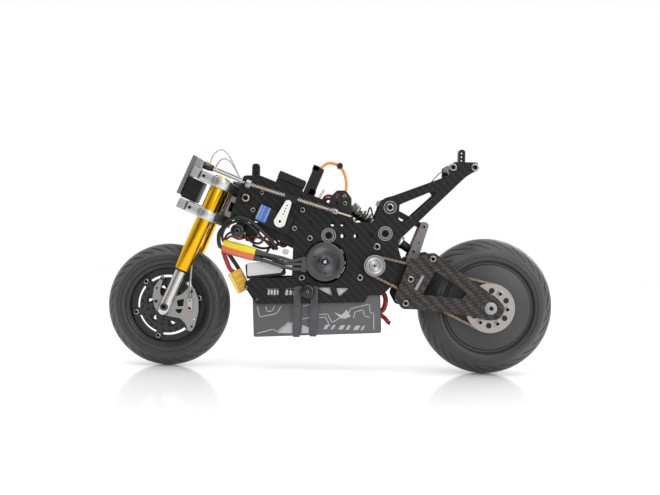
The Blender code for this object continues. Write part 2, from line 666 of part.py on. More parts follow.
def build_brake():
    windows = [
        [(-136.0, 59.4, 0.5), (-130.0, 61.0, 0.5), (-130.6, 54.8, 0.5), (-135.2, 54.5, 0.5)],
        [(-137.4, 51.6, 0.5), (-131.0, 52.2, 0.5), (-132.6, 48.6, 0.5), (-135.0, 48.4, 0.5)],
    ]
    holes = [rounded(w) for w in windows] + [circle(FRONT_AXLE, 2.3, 16), circle(LEVER_PIVOT, 1.6, 12)]
    attach(plate("brake_caliper", rounded(CALIPER), -21.6, -19.8, holes), "fork_lower", SILVER)
    cable = [(-124.8, -23.6, 64.0), (-124.4, -23.2, 69.0), (-124.8, -21.5, 76.0), (-124.4, -19.0, 90.0)]
    cable += [(-123.0, -17.8, 104.0), (-120.5, -17.0, 116.0)]
    attach(tube("brake_cable", smooth(cable, 5), 0.7), "fork_lower", WIRE)
    lever = plate("brake_lever", rounded([(-126.2, 51.0, 1.5), (-126.6, 61.8, 1.5), (-122.2, 61.8, 1.5),
                                          (-121.8, 51.0, 1.5)]), -24.0, -22.2)
    pin = [(0, -24.6), (2.3, -24.6), (2.3, -23.5), (1.3, -23.0), (1.3, -19.6), (0, -19.6)]
    boolean(lever, "UNION", [turned_y("pivot", pin, LEVER_PIVOT, 12)])
    attach(lever, "brake_lever", SILVER)


def build_front_wheel():
    w = FRONT_TYRE_HALF_WIDTH
    r = FRONT_TYRE_R
    tyre = [(r, -3.0), (r, 3.0), (r - 1.6, 8.5), (r - 5.0, 13.0), (r - 9.5, w), (r - 12.5, w - 0.6), (39.2, 12.5)]
    tyre += [(39.2, -12.5), (r - 12.5, -w + 0.6), (r - 9.5, -w), (r - 5.0, -13.0), (r - 1.6, -8.5)]
    attach(turned_y("front_tyre", tyre, FRONT_AXLE, 40), "front_wheel", RUBBER)
    ring = [(38.9, -13.5), (38.9, 13.5), (36.5, 14.5), (33.0, 14.5), (32.5, 10.0), (32.5, FLANGE_Y + 3.0)]
    ring += [(27.2, FLANGE_Y + 3.0), (27.2, FLANGE_Y), (32.5, FLANGE_Y), (33.0, -14.5), (36.5, -14.5)]
    rim = turned_y("front_rim", ring, FRONT_AXLE, 40)
    spokes = []
    for k in range(RIM_BOLTS // 2):
        start = Vector(polar(FRONT_AXLE, 29.0, RIM_BOLT_ANGLE + 60 * k))
        end = Vector(polar(FRONT_AXLE, -29.0, RIM_BOLT_ANGLE + 60 * k))
        across = (start - end).orthogonal().normalized() * 3.2
        corners = [start + across, start - across, end - across, end + across]
        spokes.append(plate(f"spoke_{k}", [c.to_tuple() for c in corners], FLANGE_Y + 0.2, FLANGE_Y + 6.0))
    core = turned_y("core", [(0, -13.5), (6.5, -13.5), (6.5, 15.5), (0, 15.5)], FRONT_AXLE, 24)
    boolean(rim, "UNION", [*spokes, core])
    boolean(rim, "DIFFERENCE", [rod_y("axle_hole", FRONT_AXLE, 2.4, -20, 20, 16)])
    attach(rim, "front_wheel", DARK_METAL)
    build_brake_disc()


def build_brake_disc():
    """A slotted disc with six ears that reach the rim's bolts."""
    outline = []
    for k in range(RIM_BOLTS):
        angle = RIM_BOLT_ANGLE + 60 * k
        outline += [polar(FRONT_AXLE, 24.4, angle - 52 + 9 * j) for j in range(6)]
        outline += [polar(FRONT_AXLE, 31.8, angle + d) for d in (-4.5, 0, 4.5)]
    slots = []
    for k in range(RIM_BOLTS):
        angle = RIM_BOLT_ANGLE + 30 + 60 * k
        slots.append([polar(FRONT_AXLE, 19.5, angle - 14), polar(FRONT_AXLE, 20.5, angle), polar(FRONT_AXLE, 19.5, angle + 14),
                      polar(FRONT_AXLE, 14.5, angle + 10), polar(FRONT_AXLE, 14.5, angle - 10)])
    holes = [*slots, circle(FRONT_AXLE, 6.8, 20)]
    attach(plate("brake_disc", outline, FLANGE_Y - 2.0, FLANGE_Y - 0.3, holes), "front_wheel", DARK_METAL)


# ---------------------------------------------------------------- swing arm and rear wheel

ARM_OUTLINE = [
    (60.8, 58.2, 5), (54.6, 69.0, 5), (60.0, 84.0, 8), (66.0, 100.8, 3), (79.4, 106.6, 3), (87.8, 108.4, 5),
    (94.5, 104.0, 5), (114.4, 89.6, 4), (144.0, 70.5, 10), (152.5, 62.0, 9), (147.0, 51.0, 10),
    (136.0, 50.5, 8), (115.5, 54.6, 5), (76.0, 58.2, 3),
]  # fmt: skip
ARM_WINDOW = [(89.5, 91.9, 1), (93.5, 89.9, 1), (117.6, 73.6, 1), (114.0, 69.0, 1), (78.4, 71.2, 1)]
ARM_SLOT = [(71.4, 75.7, 1), (77.9, 88.7, 1), (80.3, 87.6, 1), (73.8, 74.6, 1)]
ARM_BOLTS = [(86.8, 102.8), (67.9, 84.5), (64.1, 63.5)]


def build_swing_arm():
    for side, sign in (("left", -1), ("right", 1)):
        y0, y1 = sorted((sign * ARM_IN, sign * ARM_OUT))
        holes = [circle(p, SCREW_HOLE_R, 8) for p in ARM_BOLTS]
        holes += [rounded(ARM_WINDOW), rounded(ARM_SLOT), circle(REAR_AXLE, 2.4, 16)]
        attach(plate("swing_arm_plate_" + side, rounded(ARM_OUTLINE), y0, y1, holes), "swing_arm", CARBON)
    build_arm_block()
    end = ARM_OUT + 0.3
    axle = [(0, -end - 1.9), (5.4, -end - 1.9), (5.4, -end), (2.1, -end), (2.1, end), (5.4, end), (5.4, end + 1.9)]
    axle.append((0, end + 1.9))
    attach(turned_y("rear_axle", axle, REAR_AXLE, 20), "swing_arm", STEEL)


def build_arm_block():
    """The swing arm's front block: it turns on the jackshaft and carries the arm plates and the link."""
    body = [(36.3, 107.5, 9), (54.0, 100.5, 6), (70.0, 95.2, 2), (73.5, 88.0, 3), (70.5, 76.0, 4), (68.6, 62.0, 4)]
    body += [(64.1, 58.9, 4), (59.8, 62.5, 4), (60.5, 74.0, 5), (50.0, 82.5, 6), (33.0, 83.0, 9), (23.0, 95.3, 9)]
    obj = plate("swing_arm_block", rounded(body), -PLATE_IN + 0.4, PLATE_IN - 0.4)
    neck = [(56.0, 95.0, 1), (64.0, 103.0, 3), (71.0, 105.3, 3), (74.6, 101.4, 3), (73.5, 92.0, 2), (60.0, 90.0, 1)]
    lug = plate("link_lug", rounded(neck), -7.6, 7.6)
    web = [(66.0, 90.0, 0), (66.0, 94.5, 0), (76.5, 97.3, 1), (85.0, 105.0, 2), (89.0, 103.0, 2), (82.0, 96.0, 2),
           (73.5, 90.0, 0)]
    strut = plate("web", rounded(web), -7.0, 7.0)
    tubes = []
    for k, centre in enumerate(ARM_BOLTS):
        profile = [(0, -32.0), (HEAD_R, -32.0), (HEAD_R, -30.2), (SCREW_R, -30.2), (SCREW_R, -27.2)]
        profile += [(2.9, -27.2), (2.9, 27.2), (SCREW_R, 27.2), (SCREW_R, 30.2), (HEAD_R, 30.2), (HEAD_R, 32.0)]
        profile.append((0, 32.0))
        tubes.append(turned_y(f"arm_tube_{k}", profile, centre, 8))
    boolean(obj, "UNION", [lug, strut, *tubes])
    bore = rod_y("pivot_bore", JACKSHAFT, 5.4, -30, 30, 16)
    boolean(obj, "DIFFERENCE", [bore, rod_y("link_hole", LINK_PIVOT, 1.9, -12, 12, 12)])
    attach(obj, "swing_arm", BLACK)


def pitch_radius(teeth):
    return CHAIN_PITCH / (2 * math.sin(math.pi / teeth))


def build_chain():
    front = pitch_radius(FRONT_TEETH)
    rear = pitch_radius(REAR_TEETH)
    outer = tangent_loop(JACKSHAFT, front + 1.2, REAR_AXLE, rear + 1.2)
    inner = tangent_loop(JACKSHAFT, front - 1.1, REAR_AXLE, rear - 1.1)
    attach(plate("drive_chain", outer, CHAIN_Y - 1.5, CHAIN_Y + 1.5, [inner]), "swing_arm", DARK_METAL)


def build_belt():
    outer = tangent_loop(MOTOR, MOTOR_PULLEY_R + 1.9, JACKSHAFT, JACK_PULLEY_R + 1.9)
    inner = tangent_loop(MOTOR, MOTOR_PULLEY_R + 0.35, JACKSHAFT, JACK_PULLEY_R + 0.35)
    attach(plate("drive_belt", outer, BELT_Y - 1.1, BELT_Y + 1.1, [inner]), "chassis", BLACK)


def build_rear_wheel():
    w = REAR_TYRE_HALF_WIDTH
    r = REAR_TYRE_R
    tyre = [(r, -4.0), (r, 4.0), (r - 2.0, 11.0), (r - 5.5, 16.5), (r - 10.5, w), (r - 16.0, w - 1.0), (40.4, 17.0)]
    tyre += [(40.4, -17.0), (r - 16.0, -w + 1.0), (r - 10.5, -w), (r - 5.5, -16.5), (r - 2.0, -11.0)]
    attach(turned_y("rear_tyre", tyre, REAR_AXLE, 40), "rear_wheel", RUBBER)
    rim = [(8.0, -23.4), (8.0, -18.2), (38.0, -18.2), (40.1, -17.0), (40.1, 17.0), (38.0, 18.2), (8.0, 18.2)]
    rim += [(8.0, 26.0), (2.5, 26.0), (2.5, -23.4)]
    attach(turned_y("rear_rim", rim, REAR_AXLE, 40), "rear_wheel", DARK_METAL)
    tip = pitch_radius(REAR_TEETH) - 1.4
    hub = [(22.0, -27.1), (22.0, -26.3), (10.0, -26.1), (10.0, -25.3), (tip, -25.2), (tip, -23.8), (2.5, -23.8)]
    hub.append((2.5, -27.1))
    attach(turned_y("rear_sprocket", hub, REAR_AXLE, 32), "rear_wheel", SILVER)


def build_shafts():
    tip = pitch_radius(FRONT_TEETH) - 1.4
    jack = [(0, -28.6), (8.6, -28.6), (9.4, -28.0), (9.4, -26.7), (4.6, -26.5), (4.6, -25.4), (tip, -25.3)]
    jack += [(tip, -23.7), (4.9, -23.6), (4.9, 23.2), (20.2, 23.2), (20.2, 23.7), (JACK_PULLEY_R, 23.8)]
    jack += [(JACK_PULLEY_R, 26.4), (20.2, 26.5), (20.2, 27.0), (0, 27.0)]
    attach(turned_y("jackshaft", jack, JACKSHAFT, 24), "jackshaft", SILVER)
    rotor = [(0, -28.9), (1.6, -28.9), (1.6, 22.9), (9.3, 22.9), (9.3, 23.6), (MOTOR_PULLEY_R, 23.8)]
    rotor += [(MOTOR_PULLEY_R, 26.4), (9.3, 26.6), (9.3, 27.2), (4.0, 27.2), (4.0, 30.0), (0, 30.0)]
    attach(turned_y("motor_rotor", rotor, MOTOR, 24), "motor_rotor", STEEL)


# ---------------------------------------------------------------- rear suspension


def shock_turned(name, profile, steps=20):
    """A part turned about the shock absorber's axis. The profile lists (radius, distance below the top eye)."""
    run = Vector(SHOCK_BOTTOM) - Vector(SHOCK_TOP)
    axis = (-run.x / run.length, 0, -run.y / run.length)
    flipped = [(r, -t) for r, t in profile]
    return turned(name, flipped, (SHOCK_TOP[0], 0, SHOCK_TOP[1]), axis, steps)


def shock_point(t):
    run = Vector(SHOCK_BOTTOM) - Vector(SHOCK_TOP)
    found = Vector(SHOCK_TOP) + run.normalized() * t
    return (found.x, 0, found.y)


def build_shock():
    body = [(0, 2.0), (3.4, 2.0), (3.4, 7.5), (7.2, 8.0), (7.2, 10.0), (4.5, 10.2), (4.5, 44.0), (1.9, 44.0)]
    body += [(1.9, 15.0), (0, 15.0)]
    obj = shock_turned("shock_body", body)
    boolean(obj, "UNION", [rod_y("top_eye", SHOCK_TOP, 3.6, -4.0, 4.0, 20)])
    boolean(obj, "DIFFERENCE", [rod_y("eye_hole", SHOCK_TOP, 1.9, -6, 6, 12)])
    attach(obj, "shock_body", DARK_METAL)
    shaft = [(0, 22.0), (1.5, 22.0), (1.5, 59.0), (7.0, 59.2), (7.0, 62.5), (4.0, 63.5), (4.0, 71.5), (0, 72.5)]
    obj = shock_turned("shock_shaft", shaft)
    boolean(obj, "UNION", [rod_y("low_eye", SHOCK_BOTTOM, 3.1, -4.0, 4.0, 20)])
    boolean(obj, "DIFFERENCE", [rod_y("low_hole", SHOCK_BOTTOM, 2.0, -6, 6, 12)])
    attach(obj, "shock_shaft", SILVER)
    spring = helix(shock_point(10.6), shock_point(58.8), 6.0, 0.8, 7, "shock_spring")
    attach(spring, "shock_body", STEEL)


def build_link():
    """Two link plates held together by the three pins that pass through them."""
    a, b = Vector(LINK_PIVOT), Vector(LINK_TOP)
    u = (b - a).normalized()
    v = Vector((-u.y, u.x))
    corners = [a - u * 5 - v * 4.6, b + u * 5 - v * 4.2, b + u * 5 + v * 4.2, a - u * 5 + v * 5.2]
    outline = rounded([(c.x, c.y, 3.5) for c in corners], 1)
    hole = a + u * 11.5
    pieces = []
    for sign in (-1, 1):
        y0, y1 = sorted((sign * 8.0, sign * 10.0))
        pieces.append(plate("shock_link" if sign < 0 else "link_right", outline, y0, y1,
                            [circle((hole.x + 1.6, hole.y + 4), 1.2, 10)]))
    pins = [rod_y(f"link_pin_{k}", p, 1.6, -9.6, 9.6, 12) for k, p in enumerate((LINK_PIVOT, LINK_TOP, SHOCK_BOTTOM))]
    attach(boolean(pieces[0], "UNION", [pieces[1], *pins]), "shock_link", DARK_METAL)


def build_tie_rod():
    c, b = Vector(TIE_PIVOT), Vector(LINK_TOP)
    u = (b - c).normalized()
    v = Vector((-u.y, u.x)) * 2.6
    bar = [c + v, b + v, b - v, c - v]
    obj = plate("tie_rod", [(p.x, p.y) for p in bar], -2.6, 2.6)
    head = PLATE_OUT + 0.2
    pin = [(0, -head - 2.2), (3.4, -head - 2.2), (3.4, -head - 1.1), (6.5, -head - 1.0), (6.5, -head), (3.0, -head)]
    pin += [(3.0, head), (6.5, head), (6.5, head + 1.0), (3.4, head + 1.1), (3.4, head + 2.2), (0, head + 2.2)]
    eye = rod_y("eye", LINK_TOP, 4.2, -4.0, 4.0, 14)
    boolean(obj, "UNION", [turned_y("frame_pin", pin, TIE_PIVOT, 14), eye])
    boolean(obj, "DIFFERENCE", [rod_y("tie_hole", LINK_TOP, 2.0, -8, 8, 12)])
    attach(obj, "tie_rod", BLACK)


# ---------------------------------------------------------------- steering linkage


def rod_point(t):
    run = (Vector(ROD_END) - Vector(ROD_START)).normalized()
    found = Vector(ROD_START) + run * t
    return (found.x, ROD_Y, found.y)


def build_horn():
    a, b = Vector(HORN_PIVOT), Vector(HORN_TIP)
    u = (b - a).normalized()
    angle = math.degrees(math.atan2(u.y, u.x))
    outline = [polar(a, 5.2, angle + 100 + 20 * k) for k in range(9)]
    outline += [polar(b, 3.0, angle - 85 + 34 * k) for k in range(6)]
    holes = [circle(a + u * d, 0.6, 8) for d in (7.0, 9.7, 12.4, 15.1)]
    holes.append(circle(a, 1.2, 10))
    attach(plate("servo_horn", outline, -31.8, -29.9, holes), "servo_horn", WHITE)


def build_steering_rod():
    """The sliding rod with its two collars and the block that the servo horn drives."""
    run = Vector(ROD_END) - Vector(ROD_START)
    axis = (-run.x / run.length, 0, -run.y / run.length)
    profile = [(0, 1.0), (2.5, 1.0), (2.5, 5.0), (0.9, 5.2), (0.9, 79.6), (2.5, 79.8), (2.5, 84.2), (0.9, 84.4)]
    profile += [(0.9, run.length), (0, run.length)]
    obj = turned("steering_rod", [(r, -t) for r, t in profile], (ROD_START[0], ROD_Y, ROD_START[1]), axis, 16)
    middle = rod_point(41.6)
    tilt = math.degrees(math.atan2(run.y, run.x))
    drive = block("drive", (11.6, 4.8, 7.0), (middle[0] - 0.3, ROD_Y, middle[2] - 1.2), tilt)
    boolean(obj, "UNION", [drive])
    attach(obj, "steering_slider", STEEL)
    for place, t0, t1, turns in (("front", 5.5, 35.5, 9), ("rear", 47.8, 79.4, 9)):
        spring = helix(rod_point(t0), rod_point(t1), 1.8, 0.42, turns, "steering_spring_" + place)
        attach(spring, "steering_slider", STEEL)


def build_steering_link():
    """The short rod from the sliding rod to the ball on the upper clamp."""
    start = rod_point(-0.6)
    end = (LINK_BALL[0], ROD_Y, LINK_BALL[1])
    a, b = Vector(start), Vector(end)
    way = (b - a).normalized()
    length = (b - a).length
    profile = [(0, length + 2.6), (2.4, length + 2.0), (2.4, length - 2.6), (1.0, length - 6.0), (1.0, 0.6), (0, 0.6)]
    obj = turned("steering_link", profile, start, tuple(way), 16)
    attach(obj, "steering_link", STEEL)


def main():
    add_body("chassis", 0, 0)
    stem = fork_point(0, 100)
    add_body("fork_upper", *stem, parent="chassis")
    add_body("fork_lower", *FRONT_AXLE, parent="fork_upper")
    add_body("front_wheel", *FRONT_AXLE, parent="fork_lower")
    add_body("brake_lever", *LEVER_PIVOT, y=-23, parent="fork_lower")
    add_body("swing_arm", *JACKSHAFT, parent="chassis")
    add_body("rear_wheel", *REAR_AXLE, parent="swing_arm")
    add_body("jackshaft", *JACKSHAFT, parent="swing_arm")
    add_body("motor_rotor", *MOTOR, parent="chassis")
    add_body("shock_link", *LINK_PIVOT, parent="swing_arm")
    add_body("tie_rod", *TIE_PIVOT, parent="chassis")
    add_body("shock_body", *SHOCK_TOP, parent="chassis")
    add_body("shock_shaft", *SHOCK_BOTTOM, parent="shock_body")
    add_body("servo_horn", *HORN_PIVOT, y=-30, parent="chassis")
    add_body("steering_slider", *ROD_START, y=ROD_Y, parent="chassis")
    add_body("steering_link", *ROD_START, y=ROD_Y, parent="steering_slider")
    build_frame_plates()
    build_head_block()
    tilt = build_deck()
    build_frame_hardware()
    build_bearings()
    build_shock_mount()
    build_servo()
    build_receiver(tilt)
    build_esc()
    build_motor()
    build_motor_leads()
    build_battery()
    build_strap()
    build_clamps()
    build_fork_tubes()
    build_nose()
    build_brake_cables()
    build_sliders()
    build_brake()
    build_front_wheel()
    build_swing_arm()
    build_chain()
    build_belt()
    build_rear_wheel()
    build_shafts()
    build_shock()
    build_link()
    build_tie_rod()
    build_horn()
    build_steering_rod()
    build_steering_link()


main()
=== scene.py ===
"""Looks for the radio-controlled motorcycle chassis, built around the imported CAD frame.

Lengths are in millimetres in every shape, and in metres for the camera, the lights and the floor.
"""

import math

import bmesh
import bpy
from mathutils import Matrix, Vector
from mathutils.geometry import tessellate_polygon


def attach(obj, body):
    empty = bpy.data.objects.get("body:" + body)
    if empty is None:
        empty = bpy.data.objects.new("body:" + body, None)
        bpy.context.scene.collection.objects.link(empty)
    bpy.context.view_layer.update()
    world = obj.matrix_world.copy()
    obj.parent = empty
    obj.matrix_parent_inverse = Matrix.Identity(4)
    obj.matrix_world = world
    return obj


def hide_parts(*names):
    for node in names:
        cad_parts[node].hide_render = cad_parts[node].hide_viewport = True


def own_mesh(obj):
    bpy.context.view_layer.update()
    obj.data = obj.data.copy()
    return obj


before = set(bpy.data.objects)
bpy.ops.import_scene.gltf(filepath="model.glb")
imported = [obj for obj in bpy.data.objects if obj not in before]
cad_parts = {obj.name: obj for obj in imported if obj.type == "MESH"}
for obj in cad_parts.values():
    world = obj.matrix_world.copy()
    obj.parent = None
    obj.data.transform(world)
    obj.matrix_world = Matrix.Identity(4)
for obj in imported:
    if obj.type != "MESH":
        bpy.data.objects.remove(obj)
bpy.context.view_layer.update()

FRONT_AXLE = (-145.5, 54.5)
REAR_AXLE = (139, 61)
JACKSHAFT = (36.3, 95.3)
MOTOR = (-7.4, 97.4)
RAKE_DEGREES = 22.5
RAKE = math.radians(RAKE_DEGREES)
MM = 0.001
FORK_OFFSET = 12.0
FORK_Y = 27.0
HALF_GAP = 19.7
PLATE_IN = 20.0
PLATE_OUT = 22.5
ARM_IN = 27.5
ARM_OUT = 30.0
ALONG = Vector((math.sin(RAKE), 0, math.cos(RAKE)))
BEHIND = Vector((math.cos(RAKE), 0, -math.sin(RAKE)))
ACROSS = Vector((0, 1, 0))
BACKWARD = Vector((1, 0, 0))
UPWARD = Vector((0, 0, 1))
SIDES = (("left", -1), ("right", 1))


def fork_point(p, s, y=0.0):
    """The point p behind the steering axis, s up the fork from the front axle, at that y."""
    return at_y(FRONT_AXLE, y) + BEHIND * (p + FORK_OFFSET) + ALONG * s


# ---------------------------------------------------------------- camera, light and stage


CAMERA_ROLL = math.radians(1.75)
CAMERA_AZIMUTH = math.radians(-1.3)
CAMERA_ELEVATION = math.radians(0.6)
CAMERA_AIM = Vector((-0.0027, 0, 0.1098))
CAMERA_DISTANCE = 0.78735
CAMERA_LENS = 47.45
FLOOR_HALF = 1.8


def make_camera():
    roll, azimuth, elevation = CAMERA_ROLL, CAMERA_AZIMUTH, CAMERA_ELEVATION
    level = math.cos(elevation)
    back = Vector((math.sin(azimuth) * level, -math.cos(azimuth) * level, math.sin(elevation)))
    right = (-back).cross(UPWARD).normalized()
    up = right.cross(-back)
    side = right * math.cos(roll) + up * math.sin(roll)
    top = up * math.cos(roll) - right * math.sin(roll)
    place = CAMERA_AIM + back * CAMERA_DISTANCE
    data = bpy.data.cameras.new("camera")
    data.sensor_width = 36.0
    data.lens = CAMERA_LENS
    data.clip_start = 0.01
    camera = bpy.data.objects.new("camera", data)
    bpy.context.scene.collection.objects.link(camera)
    turn = Matrix((side, top, back)).transposed().to_4x4()
    camera.matrix_world = Matrix.Translation(place) @ turn
    bpy.context.scene.camera = camera


def area_light(name, place, aim, size, power, colour=(1, 1, 1)):
    data = bpy.data.lights.new(name, "AREA")
    data.shape = "RECTANGLE"
    data.size, data.size_y = size
    data.energy = power
    data.color = colour
    light = bpy.data.objects.new(name, data)
    bpy.context.scene.collection.objects.link(light)
    light.location = place
    light.rotation_euler = (Vector(place) - Vector(aim)).to_track_quat("Z", "Y").to_euler()


BANDS = [
    (0, 0.6), (0.25, 0.5), (0.35, 0.35), (0.4, 0.1), (0.435, 0.07), (0.46, 0.35), (0.5, 0.5),
    (0.56, 0.6), (0.6, 1), (0.63, 0.5), (0.68, 0.24), (0.75, 0.5), (1, 0.6),
]
RISE = [(0, 0.6), (0.47, 0.62), (0.5, 0.66), (0.56, 0.72), (0.66, 0.95), (1, 1)]


def make_world():
    """White to the camera and to matt surfaces.

    Gloss and metal see upright bands in front, darker near the horizon.
    """
    n = Nodes(bpy.data.worlds.new("studio"))
    x, y, z = n.axes(n.tree.nodes.new("ShaderNodeTexCoord").outputs["Generated"])
    turn = n.math("ARCTAN2", x, n.times(y, -1))
    bands = n.ramp(n.plus(n.over(turn, 2 * math.pi), 0.5), *[(at, (v, v, v)) for at, v in BANDS])
    rise = n.ramp(n.plus(n.times(z, 0.5), 0.5), *[(at, (v, v, v)) for at, v in RISE])
    room = n.times(n.times(bands, rise), 1.7)
    front = n.range(n.times(y, -1), 0, 1, -0.3, 0.15)
    rays = n.tree.nodes.new("ShaderNodeLightPath").outputs
    banded = n.times(front, rays["Is Glossy Ray"])
    matt = n.minus(1.08, n.times(rays["Is Camera Ray"], 0.08))
    shade = n.mix(banded, (1, 1, 1), room)
    back = n.tree.nodes["Background"]
    n.put(back.inputs["Color"], shade)
    n.put(back.inputs["Strength"], matt)
    bpy.context.scene.world = n.owner


def make_stage():
    bpy.context.scene.view_settings.view_transform = "Standard"
    data = bpy.data.meshes.new("floor")
    half = FLOOR_HALF
    corners = [(-half, -half, 0), (half, -half, 0), (half, half, 0), (-half, half, 0)]
    data.from_pydata(corners, [], [(0, 1, 2, 3)])
    floor = bpy.data.objects.new("floor", data)
    bpy.context.scene.collection.objects.link(floor)
    n = Nodes(bpy.data.materials.new("floor"))
    data.materials.append(n.finish((0.93, 0.93, 0.93), 0.12, 0, IOR=1.3))
    area_light("top_softbox", (0, -0.3, 1.3), (0, 0, 0.1), (1.6, 1), 8)
    area_light("front_softbox", (0.95, -1.25, 0.7), (0, 0, 0.1), (0.7, 0.9), 6)
    area_light("rear_softbox", (1, 1.2, 0.9), (0, 0, 0.1), (0.9, 0.9), 8)


# ---------------------------------------------------------------- materials


class Nodes:
    """A short way to wire the nodes of a material or a world."""

    def __init__(self, owner):
        owner.use_nodes = True
        self.owner = owner
        self.tree = owner.node_tree
        self.shader = self.tree.nodes.get("Principled BSDF")
        self.place = self.tree.nodes.new("ShaderNodeTexCoord").outputs["Object"]

    def put(self, socket, value):
        if isinstance(value, bpy.types.NodeSocket):
            self.tree.links.new(value, socket)
        else:
            socket.default_value = value

    def math(self, operation, *values):
        node = self.tree.nodes.new("ShaderNodeMath")
        node.operation = operation
        for socket, value in zip(node.inputs, values):
            self.put(socket, value)
        return node.outputs[0]

    def plus(self, a, b):
        return self.math("ADD", a, b)

    def minus(self, a, b):
        return self.math("SUBTRACT", a, b)

    def times(self, a, b):
        return self.math("MULTIPLY", a, b)

    def over(self, a, b):
        return self.math("DIVIDE", a, b)

    def noise(self, scale, detail=3.0, vector=None, roughness=0.5):
        node = self.tree.nodes.new("ShaderNodeTexNoise")
        node.inputs["Scale"].default_value = scale
        node.inputs["Detail"].default_value = detail
        node.inputs["Roughness"].default_value = roughness
        self.put(node.inputs["Vector"], vector or self.place)
        return node.outputs["Fac"]

    def ramp(self, factor, *stops):
        node = self.tree.nodes.new("ShaderNodeValToRGB")
        bar = node.color_ramp
        bar.elements[0].position, bar.elements[0].color = stops[0][0], (*stops[0][1], 1)
        bar.elements[1].position, bar.elements[1].color = stops[-1][0], (*stops[-1][1], 1)
        for position, colour in stops[1:-1]:
            bar.elements.new(position).color = (*colour, 1)
        self.put(node.inputs["Fac"], factor)
        return node.outputs["Color"]

    def mix(self, factor, a, b):
        node = self.tree.nodes.new("ShaderNodeMix")
        node.data_type = "RGBA"
        self.put(node.inputs[0], factor)
        for socket, value in ((node.inputs[6], a), (node.inputs[7], b)):
            self.put(socket, (*value, 1) if isinstance(value, tuple) else value)
        return node.outputs[2]

    def axes(self, vector=None):
        node = self.tree.nodes.new("ShaderNodeSeparateXYZ")
        self.put(node.inputs[0], vector or self.place)
        return node.outputs

    def stretch(self, x, y, z, turn=(0, 0, 0), shift=(0, 0, 0)):
        node = self.tree.nodes.new("ShaderNodeMapping")
        node.inputs["Scale"].default_value = (x, y, z)
        node.inputs["Rotation"].default_value = turn
        node.inputs["Location"].default_value = shift
        self.put(node.inputs["Vector"], self.place)
        return node.outputs[0]

    def bump(self, height, strength, depth):
        node = self.tree.nodes.new("ShaderNodeBump")
        node.inputs["Strength"].default_value = strength
        node.inputs["Distance"].default_value = depth
        self.put(node.inputs["Height"], height)
        self.tree.links.new(node.outputs[0], self.shader.inputs["Normal"])

    def range(self, factor, low, high, start=0.0, end=1.0):
        node = self.tree.nodes.new("ShaderNodeMapRange")
        node.inputs["From Min"].default_value = start
        node.inputs["From Max"].default_value = end
        node.inputs["To Min"].default_value = low
        node.inputs["To Max"].default_value = high
        self.put(node.inputs["Value"], factor)
        return node.outputs[0]

    def finish(self, colour, roughness, metallic=0.0, **sockets):
        self.put(self.shader.inputs["Base Color"], (*colour, 1) if isinstance(colour, tuple) else colour)
        self.put(self.shader.inputs["Roughness"], roughness)
        self.shader.inputs["Metallic"].default_value = metallic
        for name, value in sockets.items():
            self.shader.inputs[name.replace("_", " ")].default_value = value
        return self.owner


def scaled(colour, factor):
    return tuple(min(1, c * factor) for c in colour)


def plain(name, colour, roughness, metallic=0.0, grain=900.0, relief=0.25, vary=0.25, **sockets):
    """A moulded, painted or cast surface: fine grain in the relief, and slow changes of tone and gloss."""
    n = Nodes(bpy.data.materials.new(name))
    slow = n.noise(60, 4)
    fine = n.noise(grain, 2)
    dark = scaled(colour, 1 - vary)
    light = scaled(colour, 1 + vary)
    tone = n.mix(n.range(slow, 0.2, 0.8), dark, light)
    n.bump(fine, relief, 0.0002)
    gloss = n.range(n.noise(220, 3), max(0.03, roughness - 0.06), roughness + 0.06)
    return n.finish(tone, gloss, metallic, **sockets)


def brushed(name, colour, roughness, direction, grain=2600.0, relief=0.03, **sockets):
    """Metal with fine lines: direction holds the stretch of the grain along X, Y and Z."""
    n = Nodes(bpy.data.materials.new(name))
    lines = n.noise(grain, 3, n.stretch(*direction))
    slow = n.noise(45, 3)
    dark = scaled(colour, 0.8)
    tone = n.mix(n.range(slow, 0.15, 0.85), dark, colour)
    n.bump(lines, relief, 0.0001)
    gloss = n.range(lines, max(0.04, roughness - 0.05), roughness + 0.07)
    return n.finish(tone, gloss, 1, **sockets)


def carbon(name, cell, dark, light, roughness, coat=0.5, patchy=0.0):
    """A two-by-two twill weave, each tow a soft ridge, with a highlight painted into its colour across the
    tow and the weft tows painted brighter than the warp.
    """
    n = Nodes(bpy.data.materials.new(name))
    x, y, z = n.axes()
    sway = n.times(n.minus(n.noise(260, 2), 0.5), 1.1 * patchy)
    u = n.plus(n.over(n.plus(x, n.times(y, 0.35)), cell), sway)
    v = n.plus(n.over(z, cell), sway)
    count = n.plus(n.math("FLOOR", u), n.math("FLOOR", v))
    weft = n.math("GREATER_THAN", n.math("FLOORED_MODULO", count, 4), 1.5)
    across_u = n.math("SINE", n.times(n.math("FRACT", u), math.pi))
    across_v = n.math("SINE", n.times(n.math("FRACT", v), math.pi))
    ridge = n.plus(n.times(across_u, n.minus(1, weft)), n.times(across_v, weft))
    fibres = n.noise(5200, 2, n.stretch(1, 1, 0.1))
    # Painted highlight: bright along the middle of each tow, brighter on the weft tows than on the warp.
    painted_tow_highlight = n.times(ridge, n.plus(n.times(weft, 0.75), 0.25))
    painted_tow_highlight = n.times(painted_tow_highlight, n.range(fibres, 0.6, 1.3))
    if patchy:
        painted_tow_highlight = n.times(painted_tow_highlight, n.range(n.noise(170, 3), 1.0 - patchy, 1.0 + patchy))
    tone = n.ramp(painted_tow_highlight, (0, dark), (0.35, tuple(0.5 * a + 0.5 * b for a, b in zip(dark, light))), (1, light))
    n.bump(ridge, 0.25, 0.0002)
    gloss = n.range(ridge, roughness + 0.12, roughness - 0.05)
    return n.finish(tone, gloss, 0, Coat_Weight=coat, Coat_Roughness=0.15, Specular_IOR_Level=0.2)


